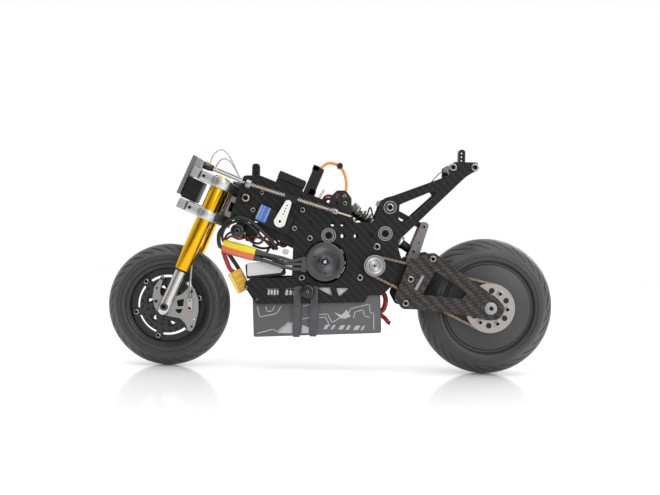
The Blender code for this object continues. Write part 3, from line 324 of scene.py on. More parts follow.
def tyre_rubber(name, colour):
    n = Nodes(bpy.data.materials.new(name))
    dust = n.noise(140, 5)
    tone = n.mix(n.range(dust, 0.1, 0.9), scaled(colour, 0.75), scaled(colour, 1.35))
    n.bump(n.noise(1900, 3), 0.35, 0.00015)
    gloss = n.range(n.noise(75, 4), 0.36, 0.55)
    return n.finish(tone, gloss, 0, Specular_IOR_Level=0.55, Sheen_Weight=0.15, Sheen_Roughness=0.4)


def turned_rings_painted_sheen(name, colour, centre, roughness):
    """Turned metal: fine rings round a line along Y through centre, and a sheen painted into the colour as
    two bright wedges.
    """
    n = Nodes(bpy.data.materials.new(name))
    x, _, z = n.axes()
    dx = n.minus(x, centre[0] * MM)
    dz = n.minus(z, centre[1] * MM)
    radius = n.math("SQRT", n.plus(n.times(dx, dx), n.times(dz, dz)))
    joined = n.tree.nodes.new("ShaderNodeCombineXYZ")
    n.put(joined.inputs[0], radius)
    lines = n.noise(5200, 3, joined.outputs[0])
    # Painted sheen: two opposite bright wedges round the centre, fixed in the colour.
    angle = n.times(n.math("ARCTAN2", dz, dx), 2)
    sweep = n.plus(n.times(n.math("COSINE", n.plus(angle, 2.2)), 0.5), 0.5)
    tone = n.mix(n.math("POWER", sweep, 3), scaled(colour, 0.7), scaled(colour, 1.5))
    n.bump(lines, 0.06, 0.0001)
    return n.finish(tone, n.range(lines, roughness - 0.06, roughness + 0.1), 1)


LOOKS = {}


def add_look(name, slot, make, *values, **sockets):
    LOOKS[name] = (slot, make(name, *values, **sockets))


add_look("frame_carbon", "carbon", carbon, 0.0019, (0.003, 0.003, 0.0035), (0.017, 0.017, 0.018), 0.42, 0.1)
add_look("arm_carbon", "carbon", carbon, 0.0023, (0.01, 0.009, 0.009), (0.062, 0.053, 0.048), 0.45, 0.12, 1.3)
add_look("black", "black_plastic", plain, (0.008, 0.008, 0.009), 0.42, Specular_IOR_Level=0.35)
add_look("gloss_black", "black_plastic", plain, (0.007, 0.007, 0.008), 0.2, relief=0.05)
add_look("dark_grey", "black_plastic", plain, (0.045, 0.045, 0.047), 0.5)
add_look("rubber_strap", "strap_rubber", plain, (0.065, 0.065, 0.07), 0.62, grain=1500, relief=0.5)
add_look("belt", "belt_rubber", plain, (0.012, 0.012, 0.012), 0.7, grain=1500, relief=0.5)
add_look("tyre", "tyre", tyre_rubber, (0.024, 0.024, 0.026))
# Near-black rubber for the faces inside the tread slits: painted shade in the grooves.
add_look("groove", "tyre", tyre_rubber, (0.002, 0.002, 0.002))
add_look("rim_black", "dark_metal", plain, (0.012, 0.012, 0.013), 0.3, 0, 700, 0.08)
add_look("rear_disc", "dark_metal", plain, (0.034, 0.033, 0.034), 0.42, 0, 1100, 0.1, 0.12)
# Near black with little reflection: painted shade for hex sockets, bores and the slits of the clamps.
add_look("socket", "dark_metal", plain, (0.004, 0.004, 0.004), 0.6, relief=0.05, Specular_IOR_Level=0.1)
add_look("disc_dark", "dark_metal", plain, (0.045, 0.045, 0.047), 0.4, 0.7, 1200, 0.06, 0.2)
add_look("dark_metal", "dark_metal", plain, (0.085, 0.085, 0.088), 0.34, 0.85, 1200, 0.04)
add_look("silver", "silver", brushed, (0.6, 0.61, 0.63), 0.32, (1, 0.05, 1))
add_look("matt_silver", "silver", plain, (0.35, 0.345, 0.34), 0.38, 0.9, 1500, 0.05, 0.12)
add_look("slider_silver", "silver", brushed, (0.66, 0.65, 0.63), 0.24, (1, 1, 0.04))
add_look("hub_grey", "silver", plain, (0.36, 0.345, 0.325), 0.36, 0.9, 1500, 0.05, 0.08)
add_look("link_grey", "dark_metal", plain, (0.22, 0.2, 0.2), 0.42, 0.75, 1500, 0.08, 0.1)
add_look("gold", "gold", brushed, (0.84, 0.45, 0.012), 0.2, (1, 1, 0.03))
add_look("steel", "steel", plain, (0.33, 0.3, 0.27), 0.24, 1, 1600, 0.02, 0.1)
add_look("bright_steel", "steel", plain, (0.55, 0.54, 0.52), 0.16, 1, 1600, 0.02, 0.08)
add_look("brass", "steel", plain, (0.5, 0.4, 0.28), 0.26, 1, 1500, 0.04)
add_look("spring", "spring_steel", plain, (0.4, 0.36, 0.325), 0.24, 1, 1300, 0.04)
add_look("chain", "dark_metal", plain, (0.24, 0.18, 0.13), 0.34, 0.9, 1300, 0.08, 0.3)
add_look("cap_grey", "silver", plain, (0.36, 0.355, 0.36), 0.5, 0.7, 1500, 0.08, 0.06)
add_look("white", "white_plastic", plain, (0.66, 0.645, 0.63), 0.38, relief=0.1, vary=0.04)
add_look("label_white", "white_plastic", plain, (0.55, 0.54, 0.53), 0.45, relief=0.05, vary=0.06)
add_look("label_sky", "black_plastic", plain, (0.24, 0.27, 0.36), 0.4, relief=0.05, vary=0.2)
add_look("label_blue", "black_plastic", plain, (0.035, 0.12, 0.44), 0.35, relief=0.05, vary=0.3)
add_look("yellow", "yellow_sleeve", plain, (0.7, 0.56, 0.012), 0.3, grain=500, relief=0.1, vary=0.12)
add_look("orange", "orange_sleeve", plain, (0.62, 0.135, 0.06), 0.32, grain=500, relief=0.1, vary=0.15)
add_look("orange_wire", "orange_sleeve", plain, (0.88, 0.27, 0.03), 0.35, vary=0.12)
add_look("red_wire", "orange_sleeve", plain, (0.34, 0.018, 0.016), 0.36, vary=0.15)
add_look("dark_red", "orange_sleeve", plain, (0.17, 0.008, 0.012), 0.4, vary=0.25)
add_look("grey_wire", "grey_cable", plain, (0.045, 0.045, 0.048), 0.42, vary=0.15)
add_look("black_wire", "grey_cable", plain, (0.005, 0.005, 0.006), 0.34, vary=0.15)
add_look("pale_cable", "grey_cable", plain, (0.42, 0.41, 0.39), 0.35, 0.4, vary=0.1)
add_look("amber_pale", "amber_plastic", plain, (0.75, 0.58, 0.16), 0.3, relief=0.05, vary=0.1)
add_look("amber", "amber_plastic", plain, (0.66, 0.36, 0.012), 0.32, relief=0.08, vary=0.12)
add_look("wrap", "battery_wrap", plain, (0.085, 0.085, 0.088), 0.36, grain=240, relief=0.12, vary=0.12)
add_look("wrap_print", "battery_wrap", plain, (0.38, 0.37, 0.39), 0.4, relief=0.05, vary=0.08)
# The motor face and the jackshaft disc take a painted sheen in their colour.
add_look("motor_face", "dark_metal", turned_rings_painted_sheen, (0.1, 0.1, 0.105), MOTOR, 0.3)
add_look("shaft_disc", "silver", turned_rings_painted_sheen, (0.55, 0.55, 0.55), JACKSHAFT, 0.28)

# ---------------------------------------------------------------- shapes


class Piece:
    """Gathers solids in millimetres, then makes one object that rides on a body."""

    def __init__(self, name, body, *nodes):
        self.name, self.body, self.nodes = name, body, nodes
        self.verts, self.faces, self.slots, self.looks = [], [], [], []

    def add(self, solid, look):
        verts, faces = solid
        if look not in self.looks:
            self.looks.append(look)
        start = len(self.verts)
        self.verts += [tuple(v) for v in verts]
        self.faces += [tuple(start + i for i in face) for face in faces]
        self.slots += [self.looks.index(look)] * len(faces)
        return self

    def bolt(self, centre, y, side, radius=3.1, height=1.7, look="steel"):
        """A domed head on the face at y, pointing to side (-1 or 1), with a hexagon socket painted near black
        as its shade.
        """
        r, h = radius, height
        head = [(0, 0), (r, 0), (r, 0.2 * h), (0.96 * r, 0.5 * h), (0.84 * r, 0.8 * h), (0.68 * r, 0.97 * h)]
        head += [(0.6 * r, h), (0.5 * r, h, 6), (0.49 * r, 0.3 * h, 6), (0, 0.25 * h)]
        return self.headed(head, centre, y, side, r, h, look)

    def cap(self, centre, y, side, radius=2.3, height=2.2, look="steel"):
        """A straight-sided head with a hexagon socket painted near black as its shade."""
        r, h = radius, height
        head = [(0, 0), (r, 0), (r, 0.85 * h), (0.9 * r, h), (0.6 * r, h),
            (0.5 * r, 0.96 * h, 6), (0.49 * r, 0.3 * h, 6)]
        return self.headed([*head, (0, 0.25 * h)], centre, y, side, r, h, look)

    def headed(self, head, centre, y, side, r, h, look):
        base = at_y(centre, y)
        self.add(lathe(head, base, (0, side, 0), 30), look)
        # The socket cup is near black: painted shade inside the hexagon recess.
        cup = [(0.48 * r, 0.9 * h, 6), (0.47 * r, 0.36 * h, 6), (0, 0.32 * h)]
        return self.add(lathe(cup, base, (0, side, 0), 30), "socket")

    def done(self, smooth=38.0):
        data = bpy.data.meshes.new(self.name)
        data.from_pydata([(x * MM, y * MM, z * MM) for x, y, z in self.verts], [], self.faces)
        for look in self.looks:
            data.materials.append(LOOKS[look][1])
        data.polygons.foreach_set("material_index", self.slots)
        shape = bmesh.new()
        shape.from_mesh(data)
        bmesh.ops.recalc_face_normals(shape, faces=shape.faces)
        shape.to_mesh(data)
        shape.free()
        data.shade_smooth()
        data.set_sharp_from_angle(angle=math.radians(smooth))
        obj = bpy.data.objects.new(self.name, data)
        bpy.context.scene.collection.objects.link(obj)
        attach(obj, self.body)
        if self.nodes:
            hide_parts(*self.nodes)
        return obj


def look_of(node, body="chassis"):
    """The visual piece that takes the place of one CAD node."""
    return Piece(node + "_look", body, node)


def heading(a, b):
    """The direction from a to b in a plane, and the one to its left."""
    u = (Vector(b) - Vector(a)).normalized()
    return u, Vector((-u.y, u.x))


def polar(centre, radius, degrees):
    a = math.radians(degrees)
    return (centre[0] + radius * math.cos(a), centre[1] + radius * math.sin(a))


def at_y(point, y=0.0):
    return Vector((point[0], y, point[1]))


def circle(centre, radius, count=28):
    return [polar(centre, radius, 360 * k / count) for k in range(count)]


def rounded(points, steps=6):
    """A closed outline through corners (a, b, radius), each corner a curve."""
    outline = []
    for k, (a, b, radius) in enumerate(points):
        corner = Vector((a, b))
        before = Vector(points[k - 1][:2]) - corner
        after = Vector(points[(k + 1) % len(points)][:2]) - corner
        if radius <= 0:
            outline.append((a, b))
            continue
        half = before.angle(after) / 2
        reach = min(radius / math.tan(half), before.length * 0.49, after.length * 0.49)
        start = corner + before.normalized() * reach
        end = corner + after.normalized() * reach
        for j in range(steps + 1):
            t = j / steps
            point = start * (1 - t) ** 2 + corner * 2 * t * (1 - t) + end * t**2
            outline.append((point.x, point.y))
    return outline


def area(loop):
    return sum(a[0] * b[1] - b[0] * a[1] for a, b in zip(loop, loop[1:] + loop[:1])) / 2


def inset(loop, depth):
    """The loop moved to its left by depth."""
    moved = []
    for k, point in enumerate(loop):
        before = Vector(point) - Vector(loop[k - 1])
        after = Vector(loop[(k + 1) % len(loop)]) - Vector(point)
        n1 = Vector((-before.y, before.x)).normalized()
        n2 = Vector((-after.y, after.x)).normalized()
        middle = n1 + n2
        scale = depth / max(0.35, middle.length_squared / 2)
        moved.append(tuple(Vector(point) + middle * (scale / 2) * (1.0 if middle.length > 1e-6 else 0)))
    return moved


def slab(loops, h0, h1, bevel=0.25, basis=None):
    """A flat part with the outline loops[0] and holes loops[1:], from h0 to h1, its edges bevelled.

    The basis is (origin, first axis, second axis, height axis).
    By default outlines are in X and Z, and heights in Y.
    """
    origin, ea, eb, eh = basis or (Vector((0, 0, 0)), BACKWARD, UPWARD, ACROSS)
    rings = []
    for k, loop in enumerate(loops):
        loop = [tuple(p) for p in loop]
        if (area(loop) > 0) != (k == 0):
            loop = loop[::-1]
        rings.append(loop)
    inner = [inset(loop, bevel) for loop in rings]
    levels = [(inner, h0), (rings, h0 + bevel), (rings, h1 - bevel), (inner, h1)]
    verts, faces, starts = [], [], []
    for shapes, height in levels:
        starts.append([])
        for loop in shapes:
            starts[-1].append(len(verts))
            verts += [origin + ea * a + eb * b + eh * height for a, b in loop]
    for level in range(3):
        for k, loop in enumerate(rings):
            low, high, n = starts[level][k], starts[level + 1][k], len(loop)
            for i in range(n):
                j = (i + 1) % n
                faces.append((low + i, low + j, high + j, high + i))
    flat = [[Vector((a, b, 0)) for a, b in loop] for loop in inner]
    for triangle in tessellate_polygon(flat):
        faces.append(tuple(triangle))
        faces.append(tuple(starts[3][0] + i for i in triangle[::-1]))
    return verts, faces


def fork_basis():
    return (fork_point(0, 0), BEHIND, ACROSS, ALONG)


def tilted_axes(degrees):
    """The direction along a part that is tilted with its rear end rising, and the one up from it."""
    u = Vector((math.cos(math.radians(degrees)), 0, math.sin(math.radians(degrees))))
    return u, Vector((-u.z, 0, u.x))


def box(size, centre, tilt=0.0, radius=1.0, bevel=0.4):
    """A box with its corners rounded in X and Z, tilted by degrees with its rear end rising."""
    w, d, h = size
    u, v = tilted_axes(tilt)
    corners = [(-w / 2, -h / 2, radius), (w / 2, -h / 2, radius),
        (w / 2, h / 2, radius), (-w / 2, h / 2, radius)]
    outline = rounded(corners, 3)
    return slab([outline], -d / 2, d / 2, bevel, (Vector(centre), u, v, ACROSS))


def soften(profile, size):
    """The profile with each sharp corner cut back by size."""
    out = [profile[0]]
    for before, here, after in zip(profile, profile[1:], profile[2:]):
        a, b, c = Vector(before[:2]), Vector(here[:2]), Vector(after[:2])
        if (a - b).length < 1e-6 or (c - b).length < 1e-6 or (a - b).angle(c - b) > math.radians(150):
            out.append(here)
            continue
        kind = here[2:]
        out.append((*(b + (a - b).normalized() * min(size, (a - b).length * 0.4)), *kind))
        out.append((*(b + (c - b).normalized() * min(size, (c - b).length * 0.4)), *kind))
    out.append(profile[-1])
    return out


def lathe(profile, centre, axis=(0, 1, 0), steps=40, soft=0.0, ring=False, start=0.0):
    """A part turned about axis through centre: the profile lists (radius, height along the axis[, sides]).
    A point with sides set lies on a polygon with that many sides. A ring's profile is closed on itself."""
    axis = Vector(axis).normalized()
    side = axis.orthogonal().normalized() if abs(axis.y) < 0.9 else BACKWARD
    up = axis.cross(side)
    if soft:
        profile = soften([*profile, *profile[:2]], soft)[1:-1] if ring else soften(profile, soft)
    verts, faces, rows = [], [], []
    for point in profile:
        radius, height = point[0], point[1]
        sides = point[2] if len(point) > 2 else 0
        base = Vector(centre) + axis * height
        if radius < 1e-5:
            rows.append([len(verts)])
            verts.append(base)
            continue
        rows.append(list(range(len(verts), len(verts) + steps)))
        for k in range(steps):
            angle = math.radians(start) + 2 * math.pi * k / steps
            r = radius
            if sides:
                wedge = 2 * math.pi / sides
                r = radius / math.cos((angle + wedge / 2) % wedge - wedge / 2)
            verts.append(base + side * (r * math.cos(angle)) + up * (r * math.sin(angle)))
    pairs = list(zip(rows, rows[1:])) + ([(rows[-1], rows[0])] if ring else [])
    for a, b in pairs:
        for k in range(steps):
            j = (k + 1) % steps
            if len(a) == 1 and len(b) == 1:
                break
            if len(a) == 1:
                faces.append((a[0], b[k], b[j]))
            elif len(b) == 1:
                faces.append((a[k], a[j], b[0]))
            else:
                faces.append((a[k], a[j], b[j], b[k]))
    return verts, faces


def turned(profile, centre, steps=40, soft=0.2, ring=False):
    """A part turned about a line along Y through centre (X, Z). The profile lists (radius, y)."""
    return lathe(profile, at_y(centre), (0, 1, 0), steps, soft, ring)


def pin(centre, radius, y0, y1, steps=40, soft=0.2):
    return turned([(0, y0), (radius, y0), (radius, y1), (0, y1)], centre, steps, soft)


def pipe(centre, inner, outer, y0, y1, steps, soft):
    return turned([(inner, y0), (outer, y0), (outer, y1), (inner, y1)], centre, steps, soft, ring=True)


def pin_along(radius, low, high, base, axis, steps, soft):
    return lathe([(0, low), (radius, low), (radius, high), (0, high)], base, axis, steps, soft)


def smooth(points, count=6):
    """Points along a smooth curve through the given ones, count between each pair."""
    known = [Vector(p) for p in points]
    known = [known[0] * 2 - known[1], *known, known[-1] * 2 - known[-2]]
    found = []
    for a, b, c, d in zip(known, known[1:], known[2:], known[3:]):
        for j in range(count):
            t = j / count
            found.append(0.5 * ((2 * b) + (c - a)
                * t + (2 * a - 5 * b + 4 * c - d) * t**2 + (3 * b - a - 3 * c + d) * t**3))
    found.append(known[-2])
    return found


def sweep(points, radius, sides=10):
    """A round wire along the points. The radius is a number, or a function of how far along from 0 to 1."""
    points = [Vector(p) for p in points]
    size = radius if callable(radius) else lambda t: radius
    tangent = (points[1] - points[0]).normalized()
    normal = tangent.orthogonal().normalized()
    verts, faces = [], []
    for k, point in enumerate(points):
        ahead = points[min(k + 1, len(points) - 1)] - points[max(k - 1, 0)]
        turn = tangent.rotation_difference(ahead.normalized())
        normal = turn @ normal
        tangent = ahead.normalized()
        other = tangent.cross(normal)
        r = size(k / (len(points) - 1))
        for j in range(sides):
            angle = 2 * math.pi * j / sides
            verts.append(point + (normal * math.cos(angle) + other * math.sin(angle)) * r)
    for k in range(len(points) - 1):
        for j in range(sides):
            i = (j + 1) % sides
            faces.append((k * sides + j, k * sides + i, (k + 1) * sides + i, (k + 1) * sides + j))
    faces.append(tuple(range(sides))[::-1])
    faces.append(tuple(range(len(verts) - sides, len(verts))))
    return verts, faces


def coil(a, b, radius, wire, turns, sides=8, per_turn=20, closed_ends=1.0):
    """A coil spring from a to b, its end turns closed up."""
    a, b = Vector(a), Vector(b)
    axis = (b - a).normalized()
    side = axis.cross(ACROSS).normalized()
    up = side.cross(axis)
    length = (b - a).length - 2 * wire
    count = int(turns * per_turn)
    points = []
    for k in range(count + 1):
        turn = k / per_turn
        shut = 2.2 * wire
        if turn < closed_ends:
            along = shut * turn
        elif turn > turns - closed_ends:
            along = length - shut * (turns - turn)
        else:
            along = shut * closed_ends + (length
                - 2 * shut * closed_ends) * (turn - closed_ends) / (turns - 2 * closed_ends)
        angle = 2 * math.pi * turn
        points.append(a + axis * (wire + along) + (side * math.cos(angle) + up * math.sin(angle)) * radius)
    return sweep(points, wire, sides)


def washer(centre, y, side, outer, inner, thick=0.4):
    profile = [(inner, 0), (outer, 0), (outer, thick), (inner, thick)]
    return lathe(profile, at_y(centre, y), (0, side, 0), 30, 0.1, ring=True)


def rings(piece, centre, y, side, *bands):
    """Flat rings on the face at y: each band is (inner radius, outer radius, height, look)."""
    for inner, outer, height, look in bands:
        profile = [(inner, -0.3), (outer, -0.3), (outer, height), (inner, height)]
        piece.add(lathe(profile, at_y(centre, y), (0, side, 0), 48, 0.08, ring=True), look)


def arc(centre, radius, width, start, end, y0, y1):
    """A thin flat arc between two angles in degrees."""
    count = max(3, int((end - start) / 4))
    angles = [start + (end - start) * k / count for k in range(count + 1)]
    loop = [polar(centre, radius + width, a) for a in angles] + [polar(centre, radius,
        a) for a in angles[::-1]]
    return slab([loop], y0, y1, 0.05)


def mirrored(low, high, sign):
    """The heights low and high on the left side, or the same ones on the right side, in order."""
    return (low, high) if sign < 0 else (-high, -low)


# ---------------------------------------------------------------- frame

FRAME_OUTLINE = [
    (-91.8, 134, 2), (-80.8, 171, 3), (-66.5, 171.5, 6), (-50, 165.4, 8), (-14, 153.4, 6),
    (15.5, 137.8, 2), (18, 132.8, 3), (34.5, 133.2, 4), (39.6, 146, 4), (41.5, 154.5, 8), (51, 157.3, 4),
    (87.3, 171.7, 6), (99.8, 176.8, 2), (99.6, 186, 3), (104.4, 188.8, 3), (124.5, 189, 2),
    (126.5, 184, 2), (114, 175.2, 6), (55.5, 116.2, 3), (60.4, 101, 4), (56.5, 86, 4),
    (52.3, 77.5, 3), (44, 69.3, 2), (32, 69, 2), (28.5, 62.6, 2), (-66.6, 58.4, 4),
    (-77.3, 73.5, 2), (-76.8, 77.8, 2), (-69, 81.4, 3), (-36, 82.6, 1.5), (-35.6, 117, 1),
    (-41, 119.2, 0.5), (-34.5, 134.6, 1), (-65.8, 147.2, 1), (-72.3, 131.6, 0.5),
]
TAIL_WINDOW = [(57, 149.6, 2), (88.6, 163.7, 1.5), (91, 160.9, 1.5), (67, 138, 2),
    (60.3, 134, 2), (56.4, 137, 1.5)]
TRAY_WINDOWS = [
    [(-14, 74.4, 1), (-2.2, 74.8, 1), (0.4, 67, 1)],
    [(3.2, 74.5, 1), (15.2, 74.9, 1), (6.2, 67, 1)],
    [(-58.5, 72.5, 2), (-46, 73, 2), (-46.5, 66, 2), (-57, 65.5, 2)],
    [(-41.5, 73.2, 2), (-30, 73.6, 2), (-32, 66.8, 2), (-43, 66.3, 2)],
]
SMALL_HOLES = [(-1.3, 130.7), (7.3, 130.9), (7.8, 120.5), (19.5, 120.8), (32, 122.3), (-21.2, 130.8)]
DECK_TUBES = [(-64.3, 156.2), (-28.2, 142.2)]
TRAY_TUBES = {"front": (-27.1, 82.8), "rear": (24.1, 84.3)}
TAIL_BOLTS = [(103.2, 183.9), (122.4, 184.4)]
HEAD_BOLT = (-78.4, 151.3)
KNOB = (-21.7, 70.9)
BEARINGS = {"front": (-4.7, 120.6), "rear": (45.1, 123.7)}
TIE_PIVOT = (48.6, 146.9)
DECK_TILT = -21.2


def frame_plates():
    for side, sign in SIDES:
        holes = [circle(p, 1.8, 16) for p in [*DECK_TUBES, *TRAY_TUBES.values(),
            *TAIL_BOLTS, HEAD_BOLT, KNOB]]
        holes += [circle(p, 2, 20) for p in SMALL_HOLES]
        holes += [circle(p, 4.2, 24) for p in BEARINGS.values()]
        holes += [circle(TIE_PIVOT, 3.3, 20), circle(JACKSHAFT, 5.4, 28)]
        holes += [rounded(w, 4) for w in [TAIL_WINDOW, *TRAY_WINDOWS]]
        holes.append(circle((MOTOR[0] + 0.6, MOTOR[1] - 0.3), 18.6, 56) if sign < 0 else circle(MOTOR, 4, 24))
        loops = [rounded(FRAME_OUTLINE, 6), *holes]
        plate = look_of(f"frame_plate_{side}")
        plate.add(slab(loops, *mirrored(-PLATE_OUT, -PLATE_IN, sign), 0.3), "frame_carbon").done()


def cross_tube(piece, centre, look="black", radius=3.1, seat=0.0):
    """A tube between the plates, bolted at both ends, each bolt on a washer that much wider than its head."""
    piece.add(pin(centre, 3, -HALF_GAP, HALF_GAP, 24), look)
    for side in (-1, 1):
        if seat:
            piece.add(washer(centre, side * PLATE_OUT, side, radius + seat, 1.6, 0.35), "socket")
        piece.bolt(centre, side * (PLATE_OUT + 0.1), side, radius)


def frame_parts():
    head = look_of("head_block")
    corners = [(14.5, 90), (14.5, 117), (17.5, 118.5), (18, 100), (24, 88), (18.4, 80.5), (16.5, 84)]
    outline = rounded([(fork_point(p, s).x, fork_point(p, s).z, 2) for p, s in corners], 4)
    head.add(slab([outline], -HALF_GAP, HALF_GAP, 0.8), "black")
    profile = [(4.1, 92.7), (4.7, 93.2), (4.7, 112), (4.1, 112.5)]
    head.add(lathe(profile, fork_point(0, 0), ALONG, 40, 0.2), "steel")
    for s in (95.5, 109.5):
        lug = fork_point(6.5, s)
        head.add(box((11, 15, 5.4), lug, -RAKE_DEGREES, 0.8, 0.4), "hub_grey")
    cross_tube(head, HEAD_BOLT, radius=3.9, seat=0.7)
    bar = fork_point(18.4, 85.8)
    knob = [(0, -25.6), (1.5, -25.6), (1.6, -26.5), (4.6, -26.4), (5.8, -25.8), (6.2, -24.6),
        (6.2, -21.4), (5.4, -20.6)]
    knob += [(4.5, -20.3), (4.5, 20.3), (5.4, 20.6), (6.2, 21.4), (6.2, 24.6), (5.8, 25.8),
        (4.6, 26.4), (1.6, 26.5)]
    head.add(turned([*knob, (1.5, 25.6), (0, 25.6)], (bar.x, bar.z), 40, 0.25), "gloss_black")
    for side in (-1, 1):
        head.bolt((bar.x, bar.z), side * 26.2, side, 2.6, 1.2, "dark_metal")
    head.done()
    deck = look_of("top_deck")
    run, rise = heading(*DECK_TUBES)
    middle = Vector(DECK_TUBES[0]) + run * 21 + rise * 2.6
    deck.add(box((64, 39.4, 2), at_y(middle), DECK_TILT, 0.3, 0.3), "frame_carbon")
    for place, radius in zip(DECK_TUBES, (2.1, 2.6)):
        cross_tube(deck, place, radius=radius)
    deck.done()
    for name, place in TRAY_TUBES.items():
        bar = look_of(f"tray_crossbar_{name}")
        cross_tube(bar, place, "matt_silver")
        bar.done()
    extra = Piece("frame_bolts", "chassis")
    for centre, radius in (((38.2, 111.9), 3.4), ((-21, 117.6), 2.8),
            ((-75.8, 72.9), 1.7), ((-66, 62.5), 1.3)):
        for side in (-1, 1):
            extra.bolt(centre, side * PLATE_OUT, side, radius, 1.5)
    for hole in ((32, 122.3), (-21.2, 130.8)):
        extra.add(pin(hole, 2.8, -19.9, 19.9, 24), "black")
    extra.done()
    pads = Piece("tray_pads", "chassis")
    for sign in (-1, 1):
        y0, y1 = mirrored(-19.9, -19.4, sign)
        for low, high, count in ((-57, -46.5, 4), (-41.5, -31, 3)):
            step = (high - low) / count
            for k in range(count):
                x = low + step * k
                bar = [(x, 66.6 + k % 2, 0.2), (x + step * 0.62, 66.6, 0.2),
                    (x + step * 0.8, 71.4 - k % 2, 0.2), (x + step * 0.2, 71.9, 0.2)]
                pads.add(slab([rounded(bar, 2)], y0, y1, 0.05), "label_white")
        for x in (-7, 8):
            outline = [(x - 8, 66.4), (x + 8, 66.4), (x + 8, 75.4), (x - 8, 75.4)]
            pads.add(slab([outline], y0, y1, 0.05), "label_white")
    pads.done()
    cradle = Piece("servo_cradle", "chassis")
    under = [(-68, 130.5), (-33.5, 117.5), (-33.5, 107.5), (-39, 109.4), (-49.5, 115),
        (-60, 119.5), (-66.5, 125)]
    cradle.add(slab([rounded([(*p, 0.8) for p in under], 3)], -16, 16, 0.4), "black")
    beside = [(-79, 128.5), (-67, 130.5), (-65.5, 124), (-69.5, 116.5), (-72, 112.5), (-78.5, 113.5)]
    cradle.add(slab([rounded([(*p, 0.8) for p in beside], 3)], -10, 10, 0.4), "black").done()


def body_posts():
    post = look_of("rear_body_post")
    tail = rounded([(103.5, 187.6, 2), (124, 188, 2), (125, 181.5, 2), (113, 176.5, 2), (104, 179.5, 2)], 4)
    post.add(slab([tail], -HALF_GAP, HALF_GAP, 0.6), "black")
    upright = rounded([(110.9, 184, 0), (116.9, 184, 0), (116.9, 201.8, 2.9), (110.9, 201.8, 2.9)], 6)
    holes = [circle((113.9, z), 1.15, 18) for z in (192, 195.3, 198.6)]
    post.add(slab([upright, *holes], -4, 4, 0.5), "black")
    post.add(box((2.6, 4, 4.6), (100.9, -15, 180.6), 22, 0.5, 0.3), "matt_silver")
    for place in TAIL_BOLTS:
        cross_tube(post, place, radius=3.6)
    post.done()
    front = look_of("front_body_post")
    corners = [(-74.9, 163.9, 0.5), (-67.9, 163.9, 0.5), (-67.9, 183.3, 3.2), (-74.9, 183.3, 3.2)]
    outline = rounded(corners, 7)
    holes = [circle((-71.4, z), 0.9, 18) for z in (172.6, 176, 179.4)]
    front.add(slab([outline, *holes], -3.5, -1, 0.4), "black").add(slab([outline], -1.2, 1.2, 0.1), "black")
    front.add(slab([outline, *holes], 1, 3.5, 0.4), "black").done()


def frame_bearings():
    bands = [(5.6, 6.4, 0.8, "matt_silver"), (4.9, 5.6, 0.6, "dark_metal"), (3.8, 4.6, 0.9, "matt_silver")]
    bands += [(4.6, 4.9, 0.7, "dark_metal"), (2.7, 3.8, 0.6, "dark_metal")]
    for name, centre in BEARINGS.items():
        bearing = look_of(f"frame_bearing_{name}")
        # The near-black fill of the plate's hole and the near-black bore below are painted shade.
        bearing.add(pin(centre, 4.2, -19.8, -22.4, 36), "socket")
        rings(bearing, centre, -PLATE_OUT, -1, *bands)
        bearing.add(pin(centre, 2.7, -23, -22.3, 30), "socket")
        bearing.done()


def shock_mount():
    ear = [(-6, 131, 2), (-6, 146, 3), (-3, 156, 4), (1.5, 160.6, 4), (9.5, 160.8, 5)]
    ear = rounded([*ear, (14.6, 154, 3), (15.2, 131, 2)], 5)
    holes = [circle(p, 1.7, 20) for p in ((1.8, 155.9), (8.5, 156.1), (2, 149.6))]
    holes.append(circle((7.3, 134), 1.5, 20))
    mount = look_of("shock_mount")
    for sign in (-1, 1):
        mount.add(slab([ear, *holes], *mirrored(-HALF_GAP, -17.7, sign), 0.3), "black")
        mount.bolt(SHOCK_TOP, sign * 19.5, sign, 2, 1.2)
    mount.add(pin(SHOCK_TOP, 1.6, -19.4, 19.4, 20), "steel").done()


# ---------------------------------------------------------------- electrics

SERVO = (-53.2, 133.4)
SERVO_TILT = -22.0
HORN_PIVOT = (-47.6, 131.4)
HORN_TIP = (-41, 147.2)
RECEIVER = (-41.2, 163.2)


def tilted(centre, u, v, degrees):
    """(X, Z) of a point u along and v across a part that is tilted about its centre."""
    a = math.radians(degrees)
    return (centre[0] + u * math.cos(a) - v * math.sin(a), centre[1] + u * math.sin(a) + v * math.cos(a))


def servo():
    piece = look_of("steering_servo")
    piece.add(box((33, 34.5, 16), at_y(SERVO, -7.55), SERVO_TILT, 1, 0.5), "black")
    for y in (-20.6, -6):
        piece.add(box((33.3, 0.5, 16.3), at_y(SERVO, y), SERVO_TILT, 1, 0.1), "dark_grey")
    piece.add(box((44.5, 2.4, 14), at_y(SERVO, -18.4), SERVO_TILT, 1.5, 0.3), "black")
    boss = [(0, -29.6), (2.8, -29.6), (2.9, -27.6), (5, -27.5), (5, -24), (0, -24)]
    piece.add(turned(boss, HORN_PIVOT, 40, 0.2), "dark_grey")
    for place in ((-71.6, 140.9), (-34.9, 125.9)):
        piece.cap(place, -22.5, -1, 2.3, 1.4)
    place = (-62.5, 137.8)
    piece.add(box((9.4, 0.3, 14.2), at_y(place, -24.9), SERVO_TILT, 0.6, 0.1), "label_blue")
    for u, width in ((-3.9, 1.6), (-1.2, 0.9), (3.4, 1.2)):
        band = tilted(place, u, 0.4, SERVO_TILT)
        piece.add(box((width, 0.3, 12.4), at_y(band, -25), SERVO_TILT, 0.2, 0.05), "label_sky")
    piece.done()


